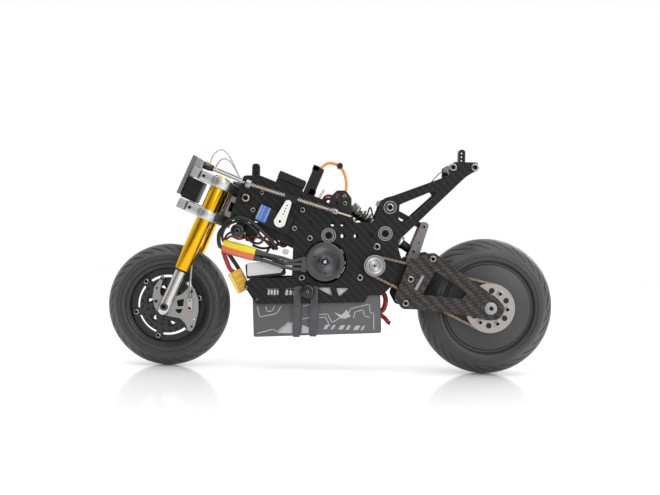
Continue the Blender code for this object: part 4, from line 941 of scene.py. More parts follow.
def receiver():
    piece = look_of("receiver")
    low = (tilted(RECEIVER, 0, -3.6, DECK_TILT)[0], RECEIVER[1] - 3.6)
    piece.add(box((25, 26, 13.6), at_y(low), DECK_TILT, 1.2, 0.6), "black")
    place = tilted(RECEIVER, 0, 6.6, DECK_TILT)
    piece.add(box((25.4, 26.4, 7.2), at_y(place), DECK_TILT, 1.4, 0.7), "gloss_black")
    place = tilted(RECEIVER, 1, 10.2, DECK_TILT)
    piece.add(box((15, 17, 0.3), at_y(place), DECK_TILT, 0.1, 0.1), "label_white")
    piece.done()
    plugs = look_of("receiver_plugs")
    centre = (-19.4, 168.2)
    for u, v, width, height in ((0, 0, 9.6, 27), (-2.6, 12, 6, 4.6), (2.6, -10, 6, 7)):
        place = tilted(centre, u, v, DECK_TILT)
        plugs.add(box((width, 24, height), at_y(place), DECK_TILT, 0.8, 0.4), "black")
    for y, radius, look in ((-9.6, 1.2, "orange_wire"), (-7, 1.1, "label_white"), (-4.4, 1.1, "dark_red")):
        route = [(-15, y, 179), (-7, y - 1, 185.2), (2.5, y - 2, 183.4), (8, y - 3, 176),
            (10, y - 3.6, 165.5), (8.2, y - 4, 154)]
        plugs.add(sweep(smooth(route, 8), radius, 10), look)
    plugs.add(pin((3.6, 182.6), 2.6, -17.6, -4, 20), "black")
    plugs.done()


def speed_controller():
    piece = look_of("speed_controller")
    centre = (-59.6, 88.7)
    piece.add(box((34.4, 24, 13), at_y(centre, -7.3), 7.5, 1.6, 0.8), "black")
    corners = [(-75.6, 93.6, 1), (-75.2, 82.4, 1.5), (-46, 86.4, 1), (-43.6, 89.4, 1), (-56, 95.6, 1)]
    label = rounded(corners, 4)
    piece.add(slab([label], -19.6, -19.2, 0.1), "label_white")
    for k in range(9):
        place = tilted(centre, -14 + 3.5 * k, 6.2, 7.5)
        piece.add(box((1, 20, 1.6), at_y(place, -7.3), 7.5, 0.3, 0.2), "dark_metal")
    piece.done()


def motor():
    can = look_of("motor_can")
    shell = [(12.5, -20), (12.5, -27.2), (15.4, -27.9), (16.6, -27.6), (17.3, -26.6),
        (17.3, -24.6), (16.8, -24.3)]
    shell += [(16.8, -23.4), (17.3, -23.1), (17.3, 16), (16.8, 16.3), (16.8, 17), (17.2, 17.3), (17, 18.6),
        (15.8, 19.6), (4, 19.6), (4, 18)]
    can.add(turned(shell, MOTOR, 72, 0.15, ring=True), "dark_metal")
    face = [(2.2, -27), (3.4, -28), (4.2, -28), (4.6, -27.3), (12.4, -27), (12.6, -27.4),
        (13.2, -27.4), (13.2, -22), (2.2, -22)]
    can.add(turned(face, MOTOR, 72, 0.1, ring=True), "motor_face")
    # Thin bright arcs only on the right of the can's rim: painted highlights.
    for start, end in ((-52, -38), (-34, -12), (-6, 3), (26, 40)):
        can.add(arc(MOTOR, 17.6, 0.6, start, end, -22.9, -22.5), "bright_steel")
    for k in range(3):
        can.cap(polar(MOTOR, 10.2, 35 + 120 * k), -27.2, -1, 1.3, 0.3, look="dark_metal")
    can.add(box((5, 4, 13.4), (-25.6, -25.2, 94.6), 0, 1, 0.5), "dark_grey")
    can.done()
    rotor = look_of("motor_rotor", "motor_rotor")
    profile = [(0, -28.9), (1.1, -28.9), (1.6, -28.5), (1.6, 22.9), (0, 22.9)]
    rotor.add(turned(profile, MOTOR, 28, 0.1), "bright_steel")
    pulley = [(0, 22.9), (9.3, 22.9), (9.3, 23.6), (7.6, 23.8), (7.6, 26.4), (9.3, 26.6), (9.3, 27.2),
        (4, 27.2), (4, 30), (0, 30)]
    rotor.add(turned(pulley, MOTOR, 40, 0.2), "matt_silver")
    rotor.done()


def motor_leads():
    upper = [(-27.6, -25.2, 99.2), (-36, -25.2, 97.4), (-44, -25.2, 99.4), (-53, -24.4, 101.2),
        (-70, -21.5, 104.6), (-97, -17, 111.2)]
    lower = [(-27.6, -25.2, 90.2), (-36, -25.2, 90.6), (-47, -25.2, 93), (-58, -24, 96.2),
        (-71, -20.5, 99.6), (-98.4, -16, 106.2)]
    for name, route, sleeve in (("upper", upper, "yellow"), ("lower", lower, "orange")):
        points = smooth(route, 12)
        lead = look_of(f"motor_lead_{name}")
        lead.add(sweep(points[:46], 1.6, 14), "grey_wire")
        lead.add(sweep(points[41:49], lambda t: 2.0 + 1.0 * t, 14), "grey_wire")
        lead.add(sweep(points[47:], lambda t: 3.5 - 0.5 * abs(2 * t - 1) ** 6, 20), sleeve)
        lead.done()


BATTERY = (-13, 53)
BATTERY_TILT = 3.4


def ribbon(points, width, y, look, piece):
    """A thin printed line on the side at y."""
    for a, b in zip(points, points[1:]):
        a, b = Vector(a), Vector(b)
        u, v = (way * (width / 2) for way in heading(a, b))
        quad = [a - u + v, b + u + v, b + u - v, a - u - v]
        piece.add(slab([quad], y - 0.06, y + 0.06, 0.01), look)


PRINT_LINES = [
    [(-65.6, 55.6), (-63.2, 46.8), (-48.3, 50.4), (-45, 56.4)],
    [(-58.1, 56.2), (-57.4, 52), (-52.4, 52.4), (-50.6, 56.6)],
    [(-64.8, 32.4), (-51.1, 36.4), (-47.8, 34.3), (-37.4, 43)],
    [(-25.2, 57.8), (-19.6, 58.9)],
    [(-25.2, 46.2), (-19.6, 47.6)],
    [(-10.9, 50.4), (-3.6, 51.4), (0.6, 43.8), (8.4, 48.6)],
    [(-10.4, 47.8), (-5.2, 48.4), (-1.4, 41.2)],
    [(13.7, 49), (16.8, 56.5), (33.3, 61), (34.1, 53.8), (37.3, 52.8), (37.8, 39.2)],
    [(19.6, 48.4), (20.6, 53.6), (27.8, 56), (29.2, 50.6), (33, 49.4)],
]
PRINT_PATCHES = [
    [(-47.4, 33.2), (-37.6, 41.8), (-34, 43.2), (-34, 33.2)],
    [(-25.6, 41), (-19.4, 38.6), (-19.4, 34), (-26, 33.6)],
    [(2, 53), (9, 50.6), (13.4, 55.6), (17, 49.6), (12, 47.4), (8.6, 47.8)],
]


def battery():
    pack = look_of("battery_pack")
    outline = rounded([(-19, -21, 2.6), (19, -21, 2.6), (19, 21, 2.6), (-19, 21, 2.6)], 6)
    u, v = tilted_axes(BATTERY_TILT)
    basis = (at_y(BATTERY), ACROSS, v, u)
    pack.add(slab([outline], -56.5, 56.5, 1.6, basis), "wrap")
    end = tilted(BATTERY, 56.6, 0, BATTERY_TILT)
    pack.add(box((0.6, 30, 33), at_y(end), BATTERY_TILT, 0.2, 0.2), "dark_grey")
    for y in (-19, 19):
        for line in PRINT_LINES:
            ribbon(line, 0.75, y, "wrap_print", pack)
        for patch in PRINT_PATCHES:
            pack.add(slab([patch], y - 0.05, y + 0.05, 0.01), "wrap_print")
        for k, width in enumerate((3.2, 2.2, 4, 2.6, 4.4, 2)):
            x = -7.0 + 6.6 * k
            outline = [(x, 37.6), (x + width, 37.6 + 0.06 * width), (x + width + 2.2, 41.8), (x + 2.2, 41.6)]
            pack.add(slab([outline], y - 0.05, y + 0.05, 0.01), "wrap_print")
    pack.done()
    plug = look_of("battery_plug")
    centre = (-82.9, 77.5)
    for u_at, width, depth, look in ((1.5, 9.6, 8, "amber"), (-4.8, 3, 8.4, "amber_pale")):
        place = tilted(centre, u_at, 0, 29.5)
        plug.add(box((width, depth, 20), at_y(place, -8), 29.5, 0.9, 0.5), look)
    for v_at in (-5, 1, 6.5):
        place = tilted(centre, 1.8, v_at, 29.5)
        plug.add(box((7.6, 8.5, 0.9), at_y(place, -8), 29.5, 0.3, 0.1), "amber_pale")
    plug.done()


def leads():
    """Short wires, each fixed at both of its ends."""
    loom = Piece("wiring_loom", "chassis")
    routes = [
        ("red_wire", 2, [(-88, -8, 85), (-91.8, -8.5, 88.5), (-95.4, -11, 97), (-97.4, -14, 103)]),
        ("black_wire", 1.9, [(-83.5, -6, 87.5), (-86, -7, 91.5), (-90, -10, 97.5), (-93.5, -14, 103)]),
        ("black_wire", 1.8, [
            (-95.5, -16.5, 106), (-100.6, -17, 109), (-101.2, -17.6, 119.3), (-95.6, -18.4, 127.4),
            (-92, -22.4, 132), (-84.4, -24.9, 133.9), (-76, -25, 132.2), (-69.5, -24.9, 128.2),
            (-57.5, -23.5, 117.5), (-49.8, -19.5, 107.1),
        ]),
        ("black_wire", 1.2, [
            (-94.5, -16.5, 109), (-97.8, -17, 113.5), (-98.2, -18, 119.4), (-93.7, -20.4, 127),
            (-82.2, -24.2, 131), (-73.7, -24.3, 127.2), (-62, -22.5, 116), (-52.5, -18.5, 106.8),
        ]),
        ("black_wire", 1, [
            (-95.5, -14.5, 107), (-96, -15, 116), (-90, -16, 121), (-80, -16, 119), (-70, -14, 111),
        ]),
        ("dark_red", 1.1, [
            (-38, -8, 114), (-45, -10, 109.5), (-52, -11, 115.5), (-58.5, -12, 119.5),
            (-65.5, -12, 111.9), (-74, -12, 113),
        ]),
        ("dark_red", 1.1, [
            (-37.5, -5, 117.5), (-44, -7, 112), (-53, -9, 111), (-61, -9, 114.5), (-70, -10, 117.5),
            (-79, -12, 116),
        ]),
        ("red_wire", 1, [(-76, -11, 117.5), (-84, -13, 115), (-91, -14, 117.2), (-95.6, -14, 114)]),
        ("black_wire", 1.1, [
            (-37.5, -12, 110), (-46, -13, 113), (-56, -13, 108.5), (-64, -12, 107.5), (-72, -11, 110),
        ]),
        ("black_wire", 1, [(-50, -9, 121), (-55, -10, 113), (-58, -10, 106), (-62, -9, 99)]),
        ("grey_wire", 1.6, [
            (-27.8, -25.2, 94.7), (-40, -24.6, 94.8), (-52, -21.8, 98), (-66, -18, 102),
            (-78, -16, 106.5),
        ]),
        ("red_wire", 2.3, [
            (42, -6, 70), (46, -6, 70.4), (48.6, -6, 65), (48, -5, 58), (45.6, -4, 54), (42.5, -4, 53.5),
        ]),
        ("red_wire", 2, [(42, -3, 50.5), (46, -3, 49.5), (49.6, -4, 46.6), (51.4, -4, 44.2)]),
        ("black_wire", 1.9, [(50.6, -4, 45), (52.4, -4, 43.6), (53.6, -4, 43.2)]),
        ("dark_red", 1.3, [
            (-11.5, -11, 150.2), (-8.5, -12, 155), (-4.5, -12, 156), (0.5, -13, 153.5),
            (2.2, -13, 147.5),
        ]),
        ("dark_red", 1.2, [
            (-10, -9, 148), (-7, -10, 153), (-3, -10, 153.5), (1.5, -11, 156.5), (4, -12, 152),
        ]),
        ("orange_wire", 1.1, [(8.2, -13.6, 154.5), (8, -13.6, 150), (6.5, -13, 145)]),
        ("label_white", 0.9, [(9.3, -15, 158), (9.4, -15, 149), (8.5, -14, 143)]),
        ("black_wire", 0.7, [
            (21.5, -15, 143.5), (28, -16, 138.4), (31.5, -16, 146.6), (35.1, -16, 136.4), (37, -16, 141),
            (38, -16, 146.5),
        ]),
        ("black_wire", 0.4, [(84, -9, 168.5), (90, -9, 176), (94.5, -9, 180.5)]),
    ]
    for look, radius, route in routes:
        loom.add(sweep(smooth(route, 8), radius, 12), look)
    loom.add(box((5, 7, 4.2), (-42.4, -15, 105), -12, 0.8, 0.4), "label_white")
    loom.add(box((3, 4, 4.6), (38.2, -15, 150.4), -20, 0.6, 0.3), "matt_silver")
    loom.add(box((2.2, 10, 11), (-12.4, -8, 156.6), DECK_TILT - 8, 0.4, 0.3), "label_white")
    loom.done()


def strap():
    half, low = 19.3, BATTERY[1] - 20.6
    outer = [(-24.1, 75.5), (-24.1, 57), (-half - 1.2, low + 1), (-half + 1, low - 1.5)]
    inner = [(-22.9, 75.5), (-22.9, 57.4), (-half, low + 1.4), (-half + 1.6, low - 0.3)]
    loop = [*outer, *[(-y, z) for y, z in outer[::-1]], *[(-y, z) for y, z in inner], *inner[::-1]]
    band = look_of("battery_strap")
    for x in (-30.6, -15.7):
        rise = (x - BATTERY[0]) * math.tan(math.radians(BATTERY_TILT))
        basis = (Vector((x, 0, rise)), ACROSS, UPWARD, BACKWARD)
        band.add(slab([loop], -3, 3, 0.25, basis), "rubber_strap")
        for y in (-24.35, 24.35):
            for dx in (-1.6, 0, 1.6):
                band.add(box((0.5, 0.4, 16), (x + dx, y, 65), 0, 0.15, 0.1), "rubber_strap")
    hook = rounded([(-33, 66, 2), (-33, 75, 3), (-13, 76, 3), (-13, 67, 2)], 5)
    for sign in (-1, 1):
        band.add(slab([hook, circle(KNOB, 2.4, 24)], *mirrored(-24.2, -22.9, sign), 0.3), "rubber_strap")
    band.done()
    for side, sign in SIDES:
        knob = look_of(f"strap_knob_{side}")
        profile = [(0, 29.4), (1.7, 29.4), (1.8, 30), (4.4, 30), (5.8, 29.3), (6.4, 28.2), (6.4, 26),
            (5.9, 24.6), (1.5, 24.4), (1.5, 20.2), (0, 20.2)]
        knob.add(lathe(profile, at_y(KNOB), (0, sign, 0), 44, 0.2), "gloss_black")
        knob.bolt(KNOB, sign * 28.9, sign, 1.6, 0.9)
        knob.done()


# ---------------------------------------------------------------- fork


def clamps():
    basis = fork_basis()
    round_tube = [(*polar((-FORK_OFFSET, 26.2), 10.1, a), 0) for a in range(126, 5, -12)]
    half = [(-30, 20, 1), (-30, 34.2, 1), (-19.5, 34.2, 1), *round_tube, (-3.6, 22.5, 2),
        (-4.6, 17, 2), (6, 8, 5)]
    other = [(p, -y, r) for p, y, r in half[::-1]]
    outline = rounded([*half, (9, 0, 7), *other, (-22, -17, 3), (-22, 17, 3)], 6)
    bores = [circle((-FORK_OFFSET, y), 6.95, 48) for y in (-FORK_Y, FORK_Y)]
    corners = ((-38, 20, 1), (-38, 34, 1), (-31.2, 34, 0.6), (-31.2, 20, 0.6))
    for name, (s0, s1) in (("upper_clamp", (113.2, 121.8)), ("lower_clamp", (83.5, 92))):
        piece = look_of(name, "fork_upper")
        bores_here = [*bores, circle((0, 0), 4.3, 32)] if name == "upper_clamp" else bores
        piece.add(slab([outline, *bores_here], s0, s1, 0.5, basis), "silver")
        for side in (-1, 1):
            block = rounded([(p, y * side, r) for p, y, r in corners], 4)
            piece.add(slab([block], s0, s1, 0.5, basis), "cap_grey")
            # A near-black strip in the clamp's slit: painted shade.
            neck = [(p, y * side) for p, y in ((-31.6, 21), (-31.6, 24), (-29.6, 24), (-29.6, 21))]
            piece.add(slab([neck], s0 + 1, s1 - 1, 0.1, basis), "socket")
            where = fork_point(-26.8, (s0 + s1) / 2, 34.2 * side)
            # The near-black centre of the ring is painted shade in the bolt hole.
            rings(piece, (where.x, where.z), where.y, side, (1.2, 2, 0.3, "bright_steel"),
                (0.01, 1.25, 0.15, "socket"))
        piece.done()
    stem = Piece("steering_stem_look", "fork_upper")
    profile = [(0, 126), (1.9, 126), (2.1, 125), (4.6, 125), (5.2, 124.4), (5.2, 122.1),
        (4, 122.1), (4, 85), (0, 85)]
    stem.add(lathe(profile, fork_point(0, 0), ALONG, 36, 0.2), "dark_metal").done()


def fork_tubes():
    for side, sign in SIDES:
        foot = fork_point(-FORK_OFFSET, 0, FORK_Y * sign)
        tube = look_of(f"fork_tube_{side}", "fork_upper")
        profile = [(5.5, 35.2), (6.2, 35.2), (6.7, 35.8), (6.7, 122.4), (6.4, 123), (4.6, 123),
            (4.4, 122.4), (0, 122.4), (0, 111), (5.5, 110)]
        tube.add(lathe(profile, foot, ALONG, 56, 0.15, ring=True), "gold")
        profile = [(0, 122.3), (4.2, 122.3), (4.2, 123.4), (3.6, 123.7), (2, 123.7), (1.8, 122.9), (0, 122.9)]
        tube.add(lathe(profile, foot, ALONG, 36, 0.15), "silver")
        profile = [(5.1, 33.9), (6.3, 33.9), (6.5, 34.3), (6.5, 35.2), (5.1, 35.2)]
        tube.add(lathe(profile, foot, ALONG, 48, 0.1, ring=True), "black")
        tube.done()
        slider = look_of(f"fork_slider_{side}", "fork_lower")
        profile = [(0, 98), (5, 98), (5, 7), (5.3, 6), (5.3, -3), (4.8, -5.4),
            (3.4, -7.3), (1.6, -8.1), (0, -8.2)]
        slider.add(lathe(profile, foot, ALONG, 48, 0.2), "slider_silver").done()
    axle = look_of("front_axle", "fork_lower")
    for side in (-1, 1):
        axle.bolt(FRONT_AXLE, side * 32, side, 3.5, 1.4, look="dark_metal")
    axle.add(pin(FRONT_AXLE, 2, -32, 32, 20), "steel")
    for y0, y1 in ((-21.6, -18), (16, 21.6)):
        axle.add(pipe(FRONT_AXLE, 2.1, 4, y0, y1, 28, 0.2), "matt_silver")
    axle.done()


def nose():
    piece = look_of("nose_plate", "fork_upper")
    centre = fork_point(-43.4, 112.6)
    piece.add(box((3.6, 34, 36.5), centre, -RAKE_DEGREES, 0.5, 0.4), "link_grey")
    top = fork_point(-39.9, 126.3)
    piece.add(box((6, 30, 8.4), top, -RAKE_DEGREES, 0.5, 0.3), "cap_grey")
    piece.done()
    module = look_of("nose_module", "fork_upper")
    place = fork_point(-34.2, 102.6)
    module.add(box((14, 28, 19.6), place, -RAKE_DEGREES, 1, 0.7), "black").done()


def brake():
    loops = look_of("brake_cable_loops", "fork_upper")
    a = [(-112.6, -7, 178), (-111.4, -6.5, 185), (-108, -5.5, 191.5), (-103, -4, 194.6), (-98, -3, 192),
        (-93.8, -2, 186), (-86.4, 0, 171.2)]
    b = [(-109.6, 7, 177), (-107, 6, 182.4), (-103.6, 5, 186.4), (-100, 4, 187.3), (-95.6, 3, 185),
        (-91.6, 1.5, 180), (-86.4, 0, 171)]
    for route in (a, b):
        loops.add(sweep(smooth(route, 10), 0.55, 12), "pale_cable")
    loops.add(sweep(smooth([(-116, -8, 182.8), (-112.5, -8, 181.2), (-108.8, -8, 179)], 6), 1.1, 12), "brass")
    loops.cap((-116.6, 181.6), -9, -1, 1.7, 1.2, "brass").cap((-109.4, 178.4), -9, -1, 1.4, 1, "dark_metal")
    loops.done()
    caliper = look_of("brake_caliper", "fork_lower")
    outline = rounded(CALIPER, 5)
    windows = [rounded([(-136, 59.4, 0.5), (-130, 61, 0.5), (-130.6, 54.8, 0.5), (-135.2, 54.5, 0.5)], 3)]
    windows.append(rounded([(-137.4, 51.6, 0.5), (-131, 52.2, 0.5), (-132.6, 48.6, 0.5), (-135, 48.4, 0.5)],
        3))
    holes = [*windows, circle(FRONT_AXLE, 2.3, 24), circle(LEVER_PIVOT, 1.6, 18),
        circle((-154, 70), 0.8, 14), circle((-120.6, 43), 0.8, 14)]
    caliper.add(slab([outline, *holes], -21.6, -19.8, 0.35), "matt_silver")
    for centre, radius in (((-150, 78.3), 1.2), ((-154.3, 58.5), 1.5),
            ((-123.6, 68), 1.5), ((-122.6, 37), 1.1)):
        caliper.cap(centre, -21.6, -1, radius, 0.8, look="dark_metal")
    caliper.add(box((9, 3.6, 12), (-124.6, -17.9, 52), -RAKE_DEGREES, 1.5, 0.4), "dark_metal")
    caliper.done()
    cable = look_of("brake_cable", "fork_lower")
    route = [(-124.8, -23.6, 64), (-124.4, -23.2, 69), (-124.8, -21.5, 76), (-124.4, -19, 90),
        (-123, -17.8, 104), (-120.5, -17, 116)]
    points = smooth(route, 12)
    cable.add(sweep(points[14:], 0.85, 12), "pale_cable")
    cable.add(sweep(points[:16], 0.55, 10), "steel")
    profile = [(0, -2.2), (1.7, -2.2), (1.7, -0.9), (1.2, -0.7), (1.2, 2.2), (0, 2.2)]
    cable.add(lathe(profile, (-124.8, -21.7, 75.2), (0.02, -0.2, 1), 24, 0.15), "silver")
    cable.done()
    lever = look_of("brake_lever", "brake_lever")
    outline = rounded([(-126.2, 51, 1.5), (-126.6, 61.8, 1.5), (-122.2, 61.8, 1.5), (-121.8, 51, 1.5)], 5)
    lever.add(slab([outline, circle((-124.4, 59.8), 0.7, 12)], -24, -22.2, 0.3), "silver")
    lever.bolt(LEVER_PIVOT, -23.8, -1, 2.2, 0.8, look="brass")
    lever.add(pin(LEVER_PIVOT, 1.3, -22.4, -19.6, 16), "steel")
    lever.add(coil((-124.4, -22.9, 61.9), (-124.4, -22.9, 66.6), 1.2, 0.3, 5, 6, 14), "brass")
    lever.done()


CALIPER = [
    (-143, 45.5, 3), (-151.7, 47.5, 3), (-155.5, 53, 3), (-157.6, 62, 3), (-156.6, 70.5, 3),
    (-152.2, 77, 2), (-150, 82.4, 2), (-147.8, 80.6, 1), (-151, 68, 2), (-150.3, 63.5, 2),
    (-143, 62, 2), (-135.2, 64, 2), (-131.5, 65.5, 2), (-125, 72.8, 2), (-121, 70.5, 3),
    (-117.4, 61.5, 4), (-116.8, 50.3, 4), (-119.6, 37.8, 3), (-122.6, 32.2, 2), (-125.8, 34.3, 2),
    (-128.6, 39.6, 3), (-133, 43.8, 3),
]
LEVER_PIVOT = (-124.2, 53)

# ---------------------------------------------------------------- wheels

SPOKE_AT = 14
GAP_AT = 44
CHAIN_PITCH = 3.5
CHAIN_Y = -24.5
TEETH = {"jackshaft": 15, "wheel": 38}


def tyre(node, body, centre, profile, slits, tread, size, lean):
    """A closed profile of (radius, y) turned round the axle, with slits across each half of the tread.

    The size of a slit is (half-width, depth). It starts at the radius tread[0] and leans forwards
    by an angle on its way to tread[1], near the crown.
    """
    period = 2 * math.pi / slits
    verts, faces, cut_faces = [], [], []
    rows = len(profile)
    spans = [min(1, max(0, (radius - tread[0]) / (tread[1] - tread[0]))) for radius, y in profile]
    for k in range(slits):
        for column in range(8):
            for (radius, y), t in zip(profile, spans):
                opening = math.sin(math.pi * t) ** 0.6 * (1 - 0.4 * t) if 0 < t < 1 else 0.0
                half = size[0] / radius * max(0.04, opening)
                inner, outer = 0.7 * half, 0.28 * period
                offset = (-0.5 * period, -outer, -half, -inner, 0, inner, half, outer)[column]
                angle = k * period + offset + lean * t**1.1
                r = radius - (size[1] * min(1, 2 * opening) if 2 < column < 6 else 0)
                verts.append((centre[0] + r * math.cos(angle), y, centre[1] + r * math.sin(angle)))
    columns = slits * 8
    for k in range(columns):
        for j in range(rows):
            i = (j + 1) % rows
            n = (k + 1) % columns
            if 2 <= k % 8 <= 5 and (0 < spans[j] < 1 or 0 < spans[i] < 1):
                cut_faces.append(len(faces))
            faces.append((k * rows + j, n * rows + j, n * rows + i, k * rows + i))
    piece = look_of(node, body).add((verts, faces), "tyre")
    # The faces inside the slits take the near-black look: painted shade in the grooves.
    piece.looks.append("groove")
    for index in cut_faces:
        piece.slots[index] = 1
    return piece


def tyre_profile(half):
    """The whole closed profile from its left half, which runs from the crown's middle to the bead."""
    return half + [(r, -y) for r, y in half[::-1]]


def front_wheel():
    crown = [(54.5 - 0.045 * y * y if y < 9 else 50.85 - (y - 9) * 1.05, -y) for y in (0.01, *range(1, 14))]
    side = [(45.4, -14.3), (44, -15.2), (43.4, -15.2), (43.2, -15.8), (41.8, -16), (41.2, -15.6), (41, -15.1)]
    side += [(40.6, -15.1), (40.4, -15.6), (38.6, -15.7), (37.4, -15.4), (37, -14.9), (38.9, -14)]
    profile = tyre_profile(crown + side)
    front = tyre("front_tyre", "front_wheel", FRONT_AXLE, profile, 30, (47.4, 53.6), (1.5, 1.2), 0.26)
    front.done(50)
    rim = look_of("front_rim", "front_wheel")
    barrel = [(38.7, -13.6), (38.7, 13.6), (38, 14.5), (33.4, 14.5), (32.5, 13.8),
        (32.5, -6), (26.8, -6), (26.8, -9)]
    barrel += [(32.3, -9), (32.6, -12.8), (33.6, -13.8), (35.4, -14), (36, -14.6), (36.9, -14.6), (37.3, -14)]
    rim.add(turned(barrel, FRONT_AXLE, 96, 0.2, ring=True), "rim_black")
    rim.add(pipe(FRONT_AXLE, 2.4, 6.4, -13.4, 15.4, 36, 0.4), "matt_silver")
    rim.add(pipe(FRONT_AXLE, 2.4, 4.4, -14.4, -13.3, 30, 0.2), "black")
    for k in range(3):
        a, b = (Vector(polar(FRONT_AXLE, 29, SPOKE_AT + 60 * k + turn)) for turn in (0, 180))
        v = heading(a, b)[1] * 3.2
        rim.add(slab([[a + v, b + v, b - v, a - v], circle(FRONT_AXLE, 2.4, 20)], -8.8,
            -3.2 - 0.2 * k, 0.5), "rim_black")
    holes = [circle(FRONT_AXLE, 6.5, 32)]
    for k in range(6):
        holes.append(rounded([(*polar(FRONT_AXLE, r, GAP_AT + 60 * k + d), 0.6) for r, d in ((17.8, 0),
            (17.2, 10), (14, -6))], 3))
    rim.add(slab([circle(FRONT_AXLE, 23.6, 72), *holes], -8.7, -8, 0.15), "rim_black")
    rim.done()
    disc = look_of("brake_disc", "front_wheel")
    tab = ((28, -5.6), (30.6, -5), (31.8, -2.5), (31.9, 0), (31.8, 2.5), (30.6, 5), (28, 5.6))
    gap = ((18.6, -13), (19.2, 0), (18.6, 13), (13.8, 11), (13.4, 0), (13.8, -11))
    drilled = ((22.4, -22), (22.4, -8), (22.4, 8), (22.4, 22), (17.5, 30), (13.5, 30), (10, 30))
    outline = []
    for k in range(6):
        angle = SPOKE_AT + 60 * k
        outline += [polar(FRONT_AXLE, 24.8, angle - 51 + 4.5 * j) for j in range(11)]
        outline += [polar(FRONT_AXLE, r, angle + d) for r, d in tab]
    holes = [circle(FRONT_AXLE, 6.8, 32)]
    for k in range(6):
        angle = GAP_AT + 60 * k
        holes.append(rounded([(*polar(FRONT_AXLE, r, angle + d), 1) for r, d in gap], 3))
        holes += [circle(polar(FRONT_AXLE, r, angle + d), 0.75, 12) for r, d in drilled]
    disc.add(slab([outline, *holes], -11, -9.3, 0.2), "disc_dark")
    disc.done()
    bolts = Piece("front_rim_bolts", "front_wheel")
    for k in range(6):
        bolts.bolt(polar(FRONT_AXLE, 28.4, SPOKE_AT + 60 * k), -10.9, -1, 2.7, 1.5)
    bolts.done()


def rear_wheel():
    rows = (0.01, 1.5, 3, 4.5, 6, 7.5, *range(9, 19))
    crown = [(61.0 - 0.034 * y * y if y < 11 else 56.9 - (y - 11) * 0.92, -y) for y in rows]
    side = [(49.6, -18.8), (48.6, -19.9), (47, -20.5), (45.2, -20.5), (44.9, -20.1), (43.6, -19.7),
        (42, -19.4), (41.6, -18.6), (40.5, -17.4)]
    profile = tyre_profile(crown + side)
    rear = tyre("rear_tyre", "rear_wheel", REAR_AXLE, profile, 28, (51.6, 60.6), (1.5, 1.2), 0.42)
    rear.done(50)
    rim = look_of("rear_rim", "rear_wheel")
    disc = [(2.5, -23.4), (8, -23.4), (8, -18.4), (37.6, -18.2), (38.1, -17.6), (38.4, -16.6),
        (39.6, -16.4), (40.4, -17), (40.4, 17), (38, 18.2), (8, 18.2), (8, 26), (2.5, 26)]
    rim.add(turned(disc, REAR_AXLE, 96, 0.2, ring=True), "rear_disc")
    rim.done()
    hub = look_of("rear_sprocket", "rear_wheel")
    holes = [circle(REAR_AXLE, 5, 32)]
    for k in range(6):
        holes.append(circle(polar(REAR_AXLE, 15.2, 57 - 60 * k), 2.7, 22))
        holes.append(circle(polar(REAR_AXLE, 15.4, 27 - 60 * k), 2.4, 18))
    hub.add(slab([circle(REAR_AXLE, 22, 96), *holes], -27.1, -26.2, 0.3), "hub_grey")
    hub.add(pipe(REAR_AXLE, 2.5, 18.6, -26.2, -25.3, 72, 0.1), "black")
    teeth = []
    count = TEETH["wheel"]
    for k in range(count):
        teeth += [polar(REAR_AXLE, r, 360 * (k + f) / count)
            for r, f in ((19.6, 0), (19.8, 0.25), (21.8, 0.42), (21.8, 0.58), (19.8, 0.75))]
    hub.add(slab([teeth, circle(REAR_AXLE, 8.2, 30)], -25.2, -23.8, 0.15), "hub_grey")
    for k in range(6):
        hub.cap(polar(REAR_AXLE, 15.2, 57 - 60 * k), -27, -1, 2.8, 0.7)
    hub.done()


# ---------------------------------------------------------------- swing arm, chain and belt

ARM_OUTLINE = [
    (60.8, 58.2, 5), (54.6, 69, 5), (60, 84, 8), (66, 100.8, 3), (79.4, 106.6, 3), (87.8, 108.4, 5),
    (94.5, 104, 5), (114.4, 89.6, 4), (144, 70.5, 10), (152.5, 62, 9), (147, 51, 10),
    (136, 50.5, 8), (115.5, 54.6, 5), (76, 58.2, 3),
]
ARM_WINDOW = [(89.5, 91.9, 1), (93.5, 89.9, 1), (117.6, 73.6, 1), (114, 69, 1), (78.4, 71.2, 1)]
ARM_SLOT = [(71.4, 75.7, 1), (77.9, 88.7, 1), (80.3, 87.6, 1), (73.8, 74.6, 1)]
ARM_BOLTS = [(86.8, 102.8), (67.9, 84.5), (64.1, 63.5)]


